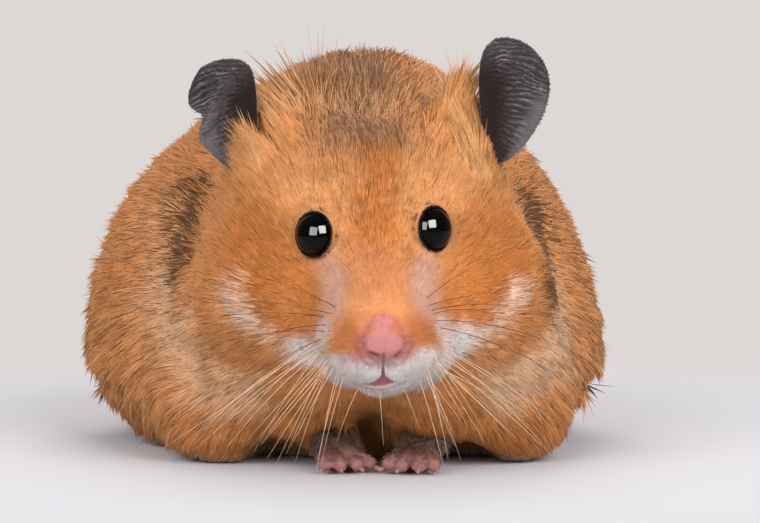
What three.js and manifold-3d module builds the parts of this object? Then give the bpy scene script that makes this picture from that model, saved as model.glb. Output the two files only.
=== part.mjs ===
// A Syrian hamster (Mesocricetus auratus) crouching on the floor, at life size, in millimetres.
// It looks along -Y, its left side is at +X and +Z is up. The origin is on the floor, at the
// middle of the box round it. Every solid reaches out to the tips of the coat.
//
// One smooth coat surface, blended from a few ellipsoids, is divided by thin cuts into head,
// jaw, neck, trunk, shoulders and thighs. Ears, eyes, nose, forearms, feet and tail are added.

import * as THREE from 'three';
import { mergeVertices } from 'three/addons/utils/BufferGeometryUtils.js';
import Module from 'manifold-3d';

const wasm = await Module();
wasm.setup();

// ---------------------------------------------------------------- driving dimensions

const GAP = 0.3; // between any two solids
const FACET_SLACK = 0.5; // more room where two solids' facets don't match
const FLOOR_BLOCK = { side: 300, depth: 40 }; // cuts everything off flat at the floor
const BLEND = 3.2; // softness of the blend between two coat forms
const RAY_STEP = 1; // how closely a ray looks for the coat's surface
const RAY_HALVINGS = 18; // and how often it then halves its last step

// Facets around and along each kind of rounded solid.
const DETAIL = {
  head: [31, 21],
  neck: [22, 12],
  trunk: [34, 18],
  limbCoat: [13, 8],
  cut: [16, 8],
  grownHead: [20, 14],
  eye: [14, 8],
  nose: [10, 6],
  ear: [18, 8],
  palm: [10, 6],
  digit: [5, 4],
  claw: [5, 3],
  forearm: [10, 7],
  tail: [8, 5],
};

// The forms that the coat is blended from: centre and half sizes along X, Y and Z.
// The trunk lies a little to the right of the head, because the hamster sits slightly turned.
const TRUNK_FORMS = [
  { name: 'rump', centre: [-7, 27, 25.5], half: [33, 27, 27] },
  { name: 'belly', centre: [-5.2, 6, 14.5], half: [40.7, 37, 17.5] },
  { name: 'back', centre: [-2.2, 11, 30], half: [26.6, 33, 33.5] },
  { name: 'flanks', centre: [-6.3, 9, 22], half: [40.7, 34, 36] },
  { name: 'shoulders', centre: [-4, -8, 29], half: [29, 20, 28] },
  { name: 'chest', centre: [-0.5, -22, 20], half: [19, 13, 14] },
  { name: 'thigh_right', centre: [-30, 14, 15], half: [12, 17, 14] },
  { name: 'thigh_left', centre: [18, 14, 15], half: [12, 17, 14] },
  { name: 'upper_arm_right', centre: [-24, -21, 10.5], half: [10.5, 11, 11] },
  { name: 'upper_arm_left', centre: [20, -21, 10.5], half: [10.5, 11, 11] },
  { name: 'sleeve_right', centre: [-7.8, -27.5, 10], half: [4.6, 8, 5.6] },
  { name: 'sleeve_left', centre: [6.2, -28, 10], half: [4.4, 8, 5.6] },
];
const HEAD_FORMS = [
  { name: 'skull', centre: [-2, -27, 35.5], half: [20, 16.5, 16] },
  { name: 'brow', centre: [-1, -35, 38], half: [7.5, 7.5, 8] },
  { name: 'ear_base_right', centre: [-16.5, -24.5, 45.5], half: [5.5, 7, 7.5] },
  { name: 'ear_base_left', centre: [12.6, -24.5, 49.5], half: [5.2, 6.5, 8] },
  { name: 'cheek_right', centre: [-17, -28, 26], half: [11.5, 13, 12] },
  { name: 'cheek_left', centre: [15, -28, 26], half: [11.5, 13, 12] },
  { name: 'bridge', centre: [0.2, -41.5, 28], half: [6.5, 8.2, 7.5] },
  { name: 'muzzle', centre: [0.5, -45, 19.6], half: [9.2, 7.5, 5.8] },
];

// Hollows under the flanks, where the hind feet lie, and under the chest, beside and between the
// forearms, and how softly they are cut.
const HOLLOWS = [
  { name: 'foot_right', centre: [-34, 10, 0], half: [6.5, 14.5, 6.2] },
  { name: 'foot_left', centre: [22.5, 8, 0], half: [6.5, 14.5, 6.2] },
  { name: 'beside_hand_right', centre: [-15.3, -26, 0.6], half: [4.8, 9, 3.8] },
  { name: 'beside_hand_left', centre: [13.4, -26, 0.6], half: [3.8, 9, 3.6] },
  { name: 'between_hands', centre: [-1, -28, 4.4], half: [3.2, 8, 4.4] },
];
const HOLLOW_BLEND = 0.8;

// Each part of the coat is worked out by rays from a point inside it, up to a longest ray.
const HEAD_VIEW = { centre: [-1, -32, 31], reach: 42 };
const NECK_VIEW = { centre: [-3, -20, 28], reach: 60 };
const TRUNK_VIEW = { centre: [-6, 8, 22], reach: 75 };
const LIMB_REACH = 40;

// The cuts between the parts of the coat are rounded: each part is what lies inside its own
// ellipsoid and outside those before it.
const HEAD_CUT = { centre: [-1, -38, 36], half: [32, 24, 25] };
const NECK_CUT = { centre: [-2, -34, 33], half: [38, 30, 27] };
const LIMB_CUTS = [
  { name: 'upper_arm_right', centre: [-24, -20, 9], half: [13, 14, 12] },
  { name: 'upper_arm_left', centre: [19, -20, 9], half: [13, 14, 12] },
  { name: 'thigh_right', centre: [-30, 17, 14], half: [13, 19, 15] },
  { name: 'thigh_left', centre: [18, 17, 14], half: [13, 19, 15] },
];

// Eyes: dark spheres set into the sides of the face, their centres just below the coat.
const EYE = { radius: 3.25, sunk: 0.5, searchFrom: -60, searchStep: 0.02 };
const EYES = [
  { name: 'eye_right', x: -9.27, z: 36.3 },
  { name: 'eye_left', x: 7.5, z: 37.1 },
];

// Nose pad: two lobes side by side, with a groove between them.
const NOSE = { centre: [0.6, -53.2, 21.8], half: [1.9, 2.2, 2.7], lobeOffset: 1.1 };

// The mouth's cut parts the lower jaw from the head.
const JAW = { middle: 0.5, mouthHeight: 16.2, back: -41, halfWidth: 9, slope: -6, block: 30 };

// Ears: thin cupped leaves, leaning out and back and facing outwards by some degrees. The
// notch is a share of the half width; cup and fold are depths.
const EAR = { thickness: 0.9, widerAtTop: 0.3, flatRim: 0.35 };
const EAR_NOTCH = { height: 0.12, reach: 0.2 }; // as shares of the half height
const EAR_FOLD = { height: -0.1, middle: 0.3 };
const EARS = [
  {
    name: 'ear_left', centre: [19.4, -26, 55.8], tall: 19.4, wide: 11.4,
    leanOut: 11, faceOut: 22, leanBack: 8, cup: 3.0, notch: 0, fold: 0, side: 1,
  },
  {
    name: 'ear_right', centre: [-22.5, -26, 53.2], tall: 17.8, wide: 12,
    leanOut: 19, faceOut: 30, leanBack: 8, cup: 3.0, notch: 0.4, fold: 2.6, side: -1,
  },
];

// Paws: a flat palm or sole and its digits. `turn` is how far the paw points to the left.
const FINGER = { count: 4, radius: 0.95, length: 4.2, spread: 24, lift: 0.8 };
const TOE = { count: 5, radius: 0.9, length: 4.4, spread: 20, lift: 0.7 };
const PALM = [3.5, 3.6, 2.2];
const HANDS = [
  { name: 'hand_right', centre: [-6, -33.2, 2], half: PALM, turn: 14, digit: FINGER, side: -1 },
  { name: 'hand_left', centre: [5.4, -34.2, 2], half: PALM, turn: -10, digit: FINGER, side: 1 },
];
const SOLE = [2.7, 8, 2.4];
const FEET = [
  { name: 'foot_right', centre: [-34, 12, 1.9], half: SOLE, turn: -12, digit: TOE },
  { name: 'foot_left', centre: [22.5, 10, 1.9], half: SOLE, turn: 12, digit: TOE },
];
const DIGIT_ROOT = 0.6; // how far ahead in the palm or sole the digits start, as a share
const OUTER_DIGIT_SHORTER = 0.25;
const CLAW = { radius: 0.46, tipRadius: 0.22, length: 1.7, drop: 0.3 };

// Forearms: from the elbow in the chest fur down to the wrist.
const FOREARM = { elbowRadius: 4.4, wristRadius: 2.7, elbowOut: 8.5, elbowBack: 9.5, elbowUp: 9 };
const FOREARM_BEND = { out: 0.4, back: 0.5, up: 0.75 }; // its middle, as shares of the elbow's

const TAIL = {
  root: [-10, 48, 11], tip: [-12.5, 58.5, 12.8], bow: [0, 0, -0.8], rootRadius: 2.4, tipRadius: 1,
};

// ---------------------------------------------------------------- materials

function plainMaterial(color, roughness) {
  return new THREE.MeshStandardMaterial({ color, roughness, metalness: 0 });
}

const ORANGE_COAT = plainMaterial(0xc8824b, 0.95);
const PALE_COAT = plainMaterial(0xe1d7d2, 0.95);
const EAR_SKIN = plainMaterial(0x5a585f, 0.8);
const PINK_SKIN = plainMaterial(0xd9949a, 0.6);
const EYE_BLACK = plainMaterial(0x0a0909, 0.05);
const CLAW_HORN = plainMaterial(0xe4cfc0, 0.4);

// ---------------------------------------------------------------- solids

// A closed surface: a unit sphere whose points are moved by `place`. Its poles lie along +-Y.
function pushedSphere(around, along, place) {
  const geometry = new THREE.SphereGeometry(1, around, along);
  geometry.deleteAttribute('normal');
  geometry.deleteAttribute('uv');
  const points = geometry.attributes.position;
  const unit = new THREE.Vector3();
  for (let i = 0; i < points.count; i += 1) {
    unit.fromBufferAttribute(points, i);
    const placed = place(unit);
    points.setXYZ(i, placed.x, placed.y, placed.z);
  }
  return mergeVertices(geometry, 1e-4);
}

function toSolid(geometry) {
  const bare = geometry.clone();
  bare.deleteAttribute('normal');
  bare.deleteAttribute('uv');
  const merged = mergeVertices(bare, 1e-4);
  return new wasm.Manifold(new wasm.Mesh({
    numProp: 3,
    vertProperties: new Float32Array(merged.attributes.position.array),
    triVerts: new Uint32Array(merged.index.array),
  }));
}

function toMesh(name, solid, material) {
  const cut = solid.getMesh();
  const geometry = new THREE.BufferGeometry();
  geometry.setAttribute('position', new THREE.BufferAttribute(cut.vertProperties, 3));
  geometry.setIndex(new THREE.BufferAttribute(cut.triVerts, 1));
  geometry.computeVertexNormals();
  const mesh = new THREE.Mesh(geometry, material);
  mesh.name = name;
  return mesh;
}

function union(solids) {
  return solids.reduce((whole, solid) => whole.add(solid));
}

// An ellipsoid with its poles up and down, or a grown copy of it to cut a neighbour with.
function ellipsoid(centre, half, detail, grow = 0) {
  return toSolid(pushedSphere(...detail, (unit) => new THREE.Vector3(
    centre[0] + unit.x * (half[0] + grow),
    centre[1] - unit.z * (half[1] + grow),
    centre[2] + unit.y * (half[2] + grow),
  )));
}

function floorBlock() {
  const block = new THREE.BoxGeometry(FLOOR_BLOCK.side, FLOOR_BLOCK.side, FLOOR_BLOCK.depth);
  block.translate(0, 0, -FLOOR_BLOCK.depth / 2);
  return toSolid(block);
}

const FLOOR = floorBlock();

// A limb along a curve, with round ends: `radiusAt` gives its radius at each fraction of the way.
const LIMB_END = 1.8; // larger is a blunter end

function limb(path, radiusAt, detail) {
  const curve = new THREE.CatmullRomCurve3(path.map((p) => new THREE.Vector3(...p)));
  const side = new THREE.Vector3();
  const up = new THREE.Vector3();
  return toSolid(pushedSphere(...detail, (unit) => {
    const fraction = (1 - unit.y) / 2;
    const centre = curve.getPointAt(fraction);
    const tangent = curve.getTangentAt(fraction);
    side.crossVectors(tangent, new THREE.Vector3(0, 0, 1)).normalize();
    up.crossVectors(side, tangent).normalize();
    const ring = Math.hypot(unit.x, unit.z) || 1;
    const rounding = Math.min(1, Math.sqrt(Math.max(0, 1 - unit.y * unit.y)) * LIMB_END);
    const radius = radiusAt(fraction) * rounding;
    return centre.clone()
      .addScaledVector(side, (-unit.x / ring) * radius)
      .addScaledVector(up, (unit.z / ring) * radius);
  }));
}

// ---------------------------------------------------------------- the coat's surface

// Distance from a point to an ellipsoid, negative inside it (close to true near its surface).
function formDistance(point, form) {
  const x = (point.x - form.centre[0]) / form.half[0];
  const y = (point.y - form.centre[1]) / form.half[1];
  const z = (point.z - form.centre[2]) / form.half[2];
  const scaled = Math.hypot(x, y, z);
  const slope = Math.hypot(x / form.half[0], y / form.half[1], z / form.half[2]);
  return slope < 1e-9 ? -Math.min(...form.half) : (scaled * (scaled - 1)) / slope;
}

// Distance to the blend of all the forms, less the hollows.
function coatDistance(point) {
  let filled = 0;
  for (const form of [...TRUNK_FORMS, ...HEAD_FORMS]) {
    filled += Math.exp(-formDistance(point, form) / BLEND);
  }
  let cut = Math.exp((-BLEND * Math.log(filled)) / HOLLOW_BLEND);
  for (const hollow of HOLLOWS) {
    cut += Math.exp(-formDistance(point, hollow) / HOLLOW_BLEND);
  }
  return HOLLOW_BLEND * Math.log(cut);
}

// The coat as seen from one point inside it: each ray stops where it first leaves the coat.
function coatFrom(view, detail, grow = 0) {
  const start = new THREE.Vector3(...view.centre);
  return toSolid(pushedSphere(...detail, (unit) => {
    const direction = new THREE.Vector3(unit.x, -unit.z, unit.y);
    const probe = new THREE.Vector3();
    const isOutside = (length) => (
      coatDistance(probe.copy(start).addScaledVector(direction, length)) > grow
    );
    let far = RAY_STEP;
    while (far < view.reach && !isOutside(far)) {
      far += RAY_STEP;
    }
    let near = far - RAY_STEP;
    for (let halving = 0; halving < RAY_HALVINGS; halving += 1) {
      const middle = (near + far) / 2;
      if (isOutside(middle)) {
        far = middle;
      } else {
        near = middle;
      }
    }
    return start.clone().addScaledVector(direction, near);
  }));
}

// ---------------------------------------------------------------- head

// The ball's centre is found by going back from in front of the face until it is sunk enough.
function eyeBall(eye, grow = 0) {
  const centre = new THREE.Vector3(eye.x, EYE.searchFrom, eye.z);
  while (coatDistance(centre) > -EYE.sunk) {
    centre.y += EYE.searchStep;
  }
  return ellipsoid(centre.toArray(), Array(3).fill(EYE.radius), DETAIL.eye, grow);
}

function noseSolid(grow = 0) {
  const lobes = [-1, 1].map((side) => ellipsoid(
    [NOSE.centre[0] + side * NOSE.lobeOffset, NOSE.centre[1], NOSE.centre[2]],
    NOSE.half,
    DETAIL.nose,
    grow,
  ));
  return union(lobes);
}

// A block with its top along the mouth and its back behind the jaw.
function jawBlock(grow = 0) {
  const block = new THREE.BoxGeometry(2 * (JAW.halfWidth + grow), JAW.block, JAW.block);
  block.translate(0, grow - JAW.block / 2, grow - JAW.block / 2);
  block.rotateX(THREE.MathUtils.degToRad(JAW.slope));
  block.translate(JAW.middle, JAW.back, JAW.mouthHeight);
  return toSolid(block);
}

// Turns and moves an ear's own frame, with its tip up and its hollow facing -Y, to its place.
function earPlace(ear) {
  const turn = new THREE.Euler(
    THREE.MathUtils.degToRad(-ear.leanBack),
    THREE.MathUtils.degToRad(ear.side * ear.leanOut),
    THREE.MathUtils.degToRad(ear.side * ear.faceOut),
    'ZYX',
  );
  return new THREE.Matrix4()
    .makeTranslation(...ear.centre)
    .multiply(new THREE.Matrix4().makeRotationFromEuler(turn));
}

// The sphere's poles are the leaf's front and back, so its equator is the leaf's edge. The
// outer edge can carry a notch, above which the leaf is folded over.
function earLeaf(ear) {
  const place = earPlace(ear);
  return toSolid(pushedSphere(...DETAIL.ear, (unit) => {
    const out = unit.x * ear.side;
    const up = -unit.z;
    const fromNotch = (up - EAR_NOTCH.height) / EAR_NOTCH.reach;
    const notch = ear.notch * Math.exp(-fromNotch * fromNotch) * Math.max(0, out);
    const across = (out * (1 + EAR.widerAtTop * up) - notch) * (ear.wide / 2);
    const cupped = -ear.cup * (out * out - EAR.flatRim * (out * out + up * up));
    const foldedUp = Math.max(0, up - EAR_FOLD.height);
    const folded = -ear.fold * foldedUp * Math.max(0, 1 - Math.abs(out - EAR_FOLD.middle));
    const thick = Math.sign(unit.y) * Math.sqrt(Math.abs(unit.y)) * (EAR.thickness / 2);
    const point = new THREE.Vector3(across * ear.side, cupped + folded - thick, up * (ear.tall / 2));
    return point.applyMatrix4(place);
  }));
}

function cutSolid(cut, grow = 0) {
  return ellipsoid(cut.centre, cut.half, DETAIL.cut, grow);
}

// The biggest piece of a solid, without the crumbs that a cut can leave beside it.
function biggest(solid) {
  return solid.decompose().reduce((best, piece) => (piece.volume() > best.volume() ? piece : best));
}

function headMeshes() {
  const grownCoat = coatFrom(HEAD_VIEW, DETAIL.grownHead, GAP + FACET_SLACK);
  let head = coatFrom(HEAD_VIEW, DETAIL.head).intersect(cutSolid(HEAD_CUT));
  for (const eye of EYES) {
    head = head.subtract(eyeBall(eye, GAP));
  }
  head = head.subtract(noseSolid(GAP));
  const jaw = head.intersect(jawBlock());
  head = head.subtract(jawBlock(GAP));
  const meshes = [
    toMesh('head', biggest(head), ORANGE_COAT),
    toMesh('lower_jaw', biggest(jaw), PALE_COAT),
    toMesh('nose', noseSolid(), PINK_SKIN),
  ];
  for (const eye of EYES) {
    meshes.push(toMesh(eye.name, eyeBall(eye), EYE_BLACK));
  }
  for (const ear of EARS) {
    meshes.push(toMesh(ear.name, biggest(earLeaf(ear).subtract(grownCoat)), EAR_SKIN));
  }
  return meshes;
}

// ---------------------------------------------------------------- feet and legs

// A direction on the floor, `degrees` to the left of straight ahead.
function heading(degrees) {
  const angle = THREE.MathUtils.degToRad(degrees);
  return { x: Math.sin(angle), y: -Math.cos(angle) };
}

// The roots, directions and lengths of a paw's digits, fanned about the paw's own axis. The
// outer digits are shorter and start further out.
function digits(paw) {
  const axis = heading(paw.turn);
  const rootAhead = paw.half[1] * DIGIT_ROOT;
  return Array.from({ length: paw.digit.count }, (_, index) => {
    const share = (2 * index) / (paw.digit.count - 1) - 1;
    const out = share * (paw.half[0] - paw.digit.radius);
    return {
      x: paw.centre[0] + axis.x * rootAhead - axis.y * out,
      y: paw.centre[1] + axis.y * rootAhead + axis.x * out,
      ahead: heading(paw.turn + share * paw.digit.spread),
      length: paw.digit.length * (1 - OUTER_DIGIT_SHORTER * share * share),
    };
  });
}

// A point beside or beyond a digit's root, `length` along it and at a height over the floor.
function alongDigit(digit, length, height) {
  return [digit.x + digit.ahead.x * length, digit.y + digit.ahead.y * length, height];
}

function digitSolid(paw, digit, grow) {
  const { radius, lift } = paw.digit;
  const reach = digit.length + grow;
  const path = [
    alongDigit(digit, 0, paw.centre[2]),
    alongDigit(digit, reach / 2, radius + lift),
    alongDigit(digit, reach, radius),
  ];
  return limb(path, () => radius + grow, DETAIL.digit);
}

function pawSolid(paw, grow = 0) {
  const palm = ellipsoid([0, 0, 0], paw.half, DETAIL.palm, grow)
    .rotate([0, 0, paw.turn])
    .translate(paw.centre);
  const fingers = digits(paw).map((digit) => digitSolid(paw, digit, grow));
  return biggest(union([palm, ...fingers]).subtract(FLOOR));
}

function clawSolid(paw, digit) {
  const start = digit.length + GAP;
  const height = paw.digit.radius;
  const path = [
    alongDigit(digit, start, height),
    alongDigit(digit, start + CLAW.length / 2, height),
    alongDigit(digit, start + CLAW.length, height - CLAW.drop),
  ];
  const radiusAt = (share) => THREE.MathUtils.lerp(CLAW.radius, CLAW.tipRadius, share);
  return limb(path, radiusAt, DETAIL.claw);
}

function pawMeshes(paw) {
  const claws = digits(paw).map((digit, index) => toMesh(
    `claw_${paw.name}_${index + 1}`,
    clawSolid(paw, digit),
    CLAW_HORN,
  ));
  return [toMesh(paw.name, pawSolid(paw), PINK_SKIN), ...claws];
}

// The part of the forearm that shows between the chest fur and the hand.
function forearmSolid(hand, coat) {
  const wrist = hand.centre;
  const pathPoint = (out, back, up) => [
    wrist[0] + hand.side * FOREARM.elbowOut * out,
    wrist[1] + FOREARM.elbowBack * back,
    FOREARM.elbowUp * up,
  ];
  const path = [
    pathPoint(1, 1, 1),
    pathPoint(FOREARM_BEND.out, FOREARM_BEND.back, FOREARM_BEND.up),
    wrist,
  ];
  const radiusAt = (share) => THREE.MathUtils.lerp(FOREARM.elbowRadius, FOREARM.wristRadius, share);
  const whole = limb(path, radiusAt, DETAIL.forearm);
  return biggest(whole.subtract(coat).subtract(pawSolid(hand, GAP)).subtract(FLOOR));
}

// ---------------------------------------------------------------- neck, trunk, tail

function tailSolid(coat) {
  const middle = TAIL.root.map((value, axis) => (value + TAIL.tip[axis]) / 2 + TAIL.bow[axis]);
  const radiusAt = (share) => THREE.MathUtils.lerp(TAIL.rootRadius, TAIL.tipRadius, share);
  return biggest(limb([TAIL.root, middle, TAIL.tip], radiusAt, DETAIL.tail).subtract(coat));
}

// Each part of the coat takes what its cut holds and the parts before it have left.
function coatMeshes() {
  const taken = [cutSolid(HEAD_CUT, GAP), FLOOR];
  const carve = (solid) => biggest(taken.reduce((rest, other) => rest.subtract(other), solid));
  const limbs = LIMB_CUTS.map((cut) => {
    const part = coatFrom({ centre: cut.centre, reach: LIMB_REACH }, DETAIL.limbCoat);
    return toMesh(cut.name, carve(part.intersect(cutSolid(cut))), ORANGE_COAT);
  });
  taken.push(...LIMB_CUTS.map((cut) => cutSolid(cut, GAP)));
  const neck = carve(coatFrom(NECK_VIEW, DETAIL.neck).intersect(cutSolid(NECK_CUT)));
  taken.push(cutSolid(NECK_CUT, GAP));
  const trunk = carve(coatFrom(TRUNK_VIEW, DETAIL.trunk));
  return [...limbs, toMesh('neck', neck, ORANGE_COAT), toMesh('trunk', trunk, ORANGE_COAT)];
}

function bareMeshes() {
  const grownCoat = coatFrom(TRUNK_VIEW, DETAIL.trunk, GAP + FACET_SLACK);
  const forearms = HANDS.map((hand) => toMesh(
    hand.side < 0 ? 'forearm_right' : 'forearm_left',
    forearmSolid(hand, grownCoat),
    PINK_SKIN,
  ));
  const paws = [...HANDS, ...FEET].flatMap((paw) => pawMeshes(paw));
  return [...forearms, ...paws, toMesh('tail', tailSolid(grownCoat), PINK_SKIN)];
}

// ---------------------------------------------------------------- the whole hamster

// Moves the whole group so that the middle of its box is over the origin.
function centreOverOrigin(group) {
  const middle = new THREE.Box3().setFromObject(group).getCenter(new THREE.Vector3());
  group.position.set(-middle.x, -middle.y, 0);
  group.updateMatrixWorld(true);
}

const hamster = new THREE.Group();
hamster.add(...headMeshes(), ...coatMeshes(), ...bareMeshes());
centreOverOrigin(hamster);

export default hamster;
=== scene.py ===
"""A Syrian hamster, crouching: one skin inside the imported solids, and a coat of mesh tufts.

Places are in millimetres from the hamster's own origin, under the middle of its shoulders. It looks
along -Y, its left side is at +X and +Z is up. `to_metres` turns them into the row frame.
"""

import math

import bmesh
import bpy
import numpy as np
from mathutils import Matrix, Vector
from mathutils.bvhtree import BVHTree


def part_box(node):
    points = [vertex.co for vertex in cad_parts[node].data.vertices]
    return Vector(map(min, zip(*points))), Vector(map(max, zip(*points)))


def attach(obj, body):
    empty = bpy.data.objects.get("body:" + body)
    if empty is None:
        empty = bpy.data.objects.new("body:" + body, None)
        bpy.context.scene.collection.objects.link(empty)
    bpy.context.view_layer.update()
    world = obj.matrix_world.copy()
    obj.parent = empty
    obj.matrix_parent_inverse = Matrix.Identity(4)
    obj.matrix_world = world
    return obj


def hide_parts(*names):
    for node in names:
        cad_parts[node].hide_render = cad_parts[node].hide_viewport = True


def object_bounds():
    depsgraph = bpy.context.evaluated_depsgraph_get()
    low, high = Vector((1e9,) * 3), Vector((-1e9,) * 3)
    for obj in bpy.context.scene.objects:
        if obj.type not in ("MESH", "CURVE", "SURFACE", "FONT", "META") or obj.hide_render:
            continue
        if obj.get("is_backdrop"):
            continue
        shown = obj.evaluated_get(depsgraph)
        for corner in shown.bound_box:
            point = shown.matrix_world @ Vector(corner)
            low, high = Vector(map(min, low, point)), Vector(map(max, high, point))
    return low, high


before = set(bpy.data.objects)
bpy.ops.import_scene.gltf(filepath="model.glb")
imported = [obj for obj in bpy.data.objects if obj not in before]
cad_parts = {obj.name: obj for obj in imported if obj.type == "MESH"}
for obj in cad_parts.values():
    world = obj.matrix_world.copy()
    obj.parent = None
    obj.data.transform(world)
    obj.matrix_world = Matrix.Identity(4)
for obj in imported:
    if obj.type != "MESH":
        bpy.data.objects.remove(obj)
CAD_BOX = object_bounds()

# ---------------- places and sizes

NOSE = np.array([0.6, -53.2, 21.8])  # middle of the nose pad
MM = 0.001


def box_mm(node):
    """Lowest and highest corner of a CAD node, in millimetres in the row frame."""
    low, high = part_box(node)
    return np.array(low) / MM, np.array(high) / MM


ORIGIN = sum(box_mm("nose")) / 2 - NOSE


def to_metres(points):
    return (np.asarray(points, dtype=float) + ORIGIN) * MM


def middle_of(node):
    return sum(box_mm(node)) / 2 - ORIGIN


EYE_RADIUS = (box_mm("eye_left")[1][2] - box_mm("eye_left")[0][2]) / 2
EYES = {"right": middle_of("eye_right"), "left": middle_of("eye_left")}
SIDE = {"right": -1, "left": 1}

BODY_NODES = [
    "head", "lower_jaw", "nose", "neck", "trunk",
    "upper_arm_right", "upper_arm_left", "thigh_right", "thigh_left",
]
LIMB_NODES = [
    ["forearm_right", "hand_right"], ["forearm_left", "hand_left"],
    ["foot_right"], ["foot_left"], ["tail"],
]
EAR_NODES = ["ear_right", "ear_left"]

BODY_VOXEL = 0.88
LIMB_VOXEL = 0.32
BODY_SWELL = 0.35  # closes the thin cuts between the solids
LIMB_SWELL = 0.2
BODY_ROUNDS, LIMB_ROUNDS = 14, 6  # how often the surfaces are smoothed

# How long the fur is at each distance from the nose, and how deep the skin lies under the CAD
# surface, as a share of the fur's length.
COAT_FROM_NOSE = [0, 5, 9, 16, 24, 32, 40, 52, 80]
COAT_LENGTH = [0.5, 0.8, 1.4, 2.3, 3.1, 3.9, 5.3, 7.0, 8.0]
DEPTH_SHARE = 0.23

# ---------------- colours


def srgb(red, green, blue):
    """A colour as seen on a screen, made linear."""
    shares = np.array([red, green, blue]) / 255
    return np.where(shares <= 0.04045, shares / 12.92, ((shares + 0.055) / 1.055) ** 2.4)


ORANGE = srgb(206, 140, 84)
BACK_ORANGE = srgb(202, 140, 92)
APRICOT = srgb(222, 160, 106)
BRIGHT_ORANGE = srgb(192, 117, 55)
DEEP_ORANGE = srgb(181, 103, 34)
COPPER = srgb(184, 106, 66)
CORAL = srgb(206, 124, 98)
SALMON = srgb(222, 152, 104)
WHITE = srgb(222, 214, 212)
CREAM = srgb(230, 198, 176)
PALE_PAD = srgb(208, 166, 151)
FLASH = srgb(104, 68, 38)
# darker brown for painted shade in the fold low on the left flank
FOLD_SHADE = srgb(160, 98, 46)
BAND = srgb(218, 184, 152)
TICKED = srgb(146, 112, 88)
CHEST = srgb(188, 122, 64)
BELLY = srgb(196, 184, 172)
BLOND = srgb(240, 196, 146)
PINK = srgb(210, 139, 138)
# mauve: the skin's pinkish tint under the nose with painted shade over it, and painted shade inside the
# mouth
MAUVE_TINT_AND_SHADE = srgb(190, 146, 152)
# brownish pink for painted shade beside the nose pad
NOSE_SIDE_SHADE = srgb(186, 112, 98)
LIP = srgb(166, 96, 106)
# near-black of the lids' own rim, widened as painted shade round the eyes
LID_RIM_AND_SHADE = srgb(18, 14, 14)
EAR_GREY = srgb(104, 99, 103)
EAR_GAP = srgb(58, 51, 53)
# near-black painted shade for the hollow at the ear's root
EAR_HOLLOW_SHADE = srgb(42, 29, 26)
EAR_SILVER = srgb(164, 156, 160)
# the paws' pink and fur are kept darker than their own colours as painted shade, for the chest's shadow
# over them
PAW_PINK = srgb(154, 108, 104)
PAW_FUR = srgb(102, 77, 68)
HORN_PINKS = [srgb(160, 112, 104), srgb(176, 130, 122)]
EYE_BLACKS = [(0.0008, 0.0006, 0.0006), (0.003, 0.002, 0.0018)]  # linear already

# ---------------- smooth fields


def smooth_step(low, high, values):
    share = np.clip((values - low) / (high - low), 0, 1)
    return share * share * (3 - 2 * share)


def scrambled(cell, seed):
    """A fixed number from 0 to 1 for each whole-numbered cell."""
    mixed = cell[..., 0] * 73856093 ^ cell[..., 1] * 19349663 ^ cell[..., 2] * 83492791
    mixed = (mixed ^ (seed * 40503)) & 0xFFFFFFFF
    for _ in range(2):
        mixed = ((mixed ^ (mixed >> 16)) * 0x45D9F3B) & 0xFFFFFFFF
    return (mixed ^ (mixed >> 16)) / 2**32


CORNERS = np.array([[x, y, z] for x in (0, 1) for y in (0, 1) for z in (0, 1)])
AROUND = np.array([[x, y, z] for x in (-1, 0, 1) for y in (-1, 0, 1) for z in (-1, 0, 1)])


def noise(points, size, seed):
    """Smooth noise from -1 to 1 whose bumps are about `size` across."""
    scaled = points / size
    cell = np.floor(scaled).astype(np.int64)
    part = scaled - cell
    part = part * part * (3 - 2 * part)
    total = np.zeros(len(points))
    for corner in CORNERS:
        share = np.prod(np.where(corner, part, 1 - part), axis=1)
        total += share * scrambled(cell + corner, seed)
    return total * 2 - 1


def noise_vector(points, size, seed):
    return np.stack([noise(points, size, seed + axis) for axis in range(3)], axis=1)


def nearest_lock(points, size, seed):
    """The middle of the lock of hair that each point belongs to, and a number from 0 to 1 for it."""
    cell = np.floor(points / size).astype(np.int64)
    best = np.full(len(points), np.inf)
    middle = np.zeros_like(points)
    number = np.zeros(len(points))
    for step in AROUND:
        near = cell + step
        jitter = np.stack([scrambled(near, seed + axis) for axis in range(3)], axis=1)
        candidate = (near + jitter) * size
        distance = ((candidate - points) ** 2).sum(axis=1)
        closer = distance < best
        best[closer] = distance[closer]
        middle[closer] = candidate[closer]
        number[closer] = scrambled(near, seed + 7)[closer]
    return middle, number


def line_distance(points, path):
    """Distance from each point to a path of straight pieces."""
    path = np.asarray(path, dtype=float)
    if len(path) == 1:
        return np.linalg.norm(points - path[0], axis=1)
    nearest = np.full(len(points), np.inf)
    for start, end in zip(path[:-1], path[1:]):
        along = end - start
        share = np.clip((points - start) @ along / (along @ along), 0, 1)
        nearest = np.minimum(nearest, np.linalg.norm(points - start - share[:, None] * along, axis=1))
    return nearest


def unit(vectors):
    return vectors / np.maximum(np.linalg.norm(vectors, axis=1, keepdims=True), 1e-9)


def nose_distance(points):
    return np.linalg.norm(points - NOSE, axis=1)


def flattened(vectors, normals):
    """The part of each vector that lies along the surface."""
    return vectors - normals * (vectors * normals).sum(axis=1, keepdims=True)


# ---------------- markings, with painted shade

CROWN_LINE = [(-4, 2, 62), (-3.4, -12, 58), (-3.1, -22, 54), (-2.4, -33, 51)]

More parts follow.
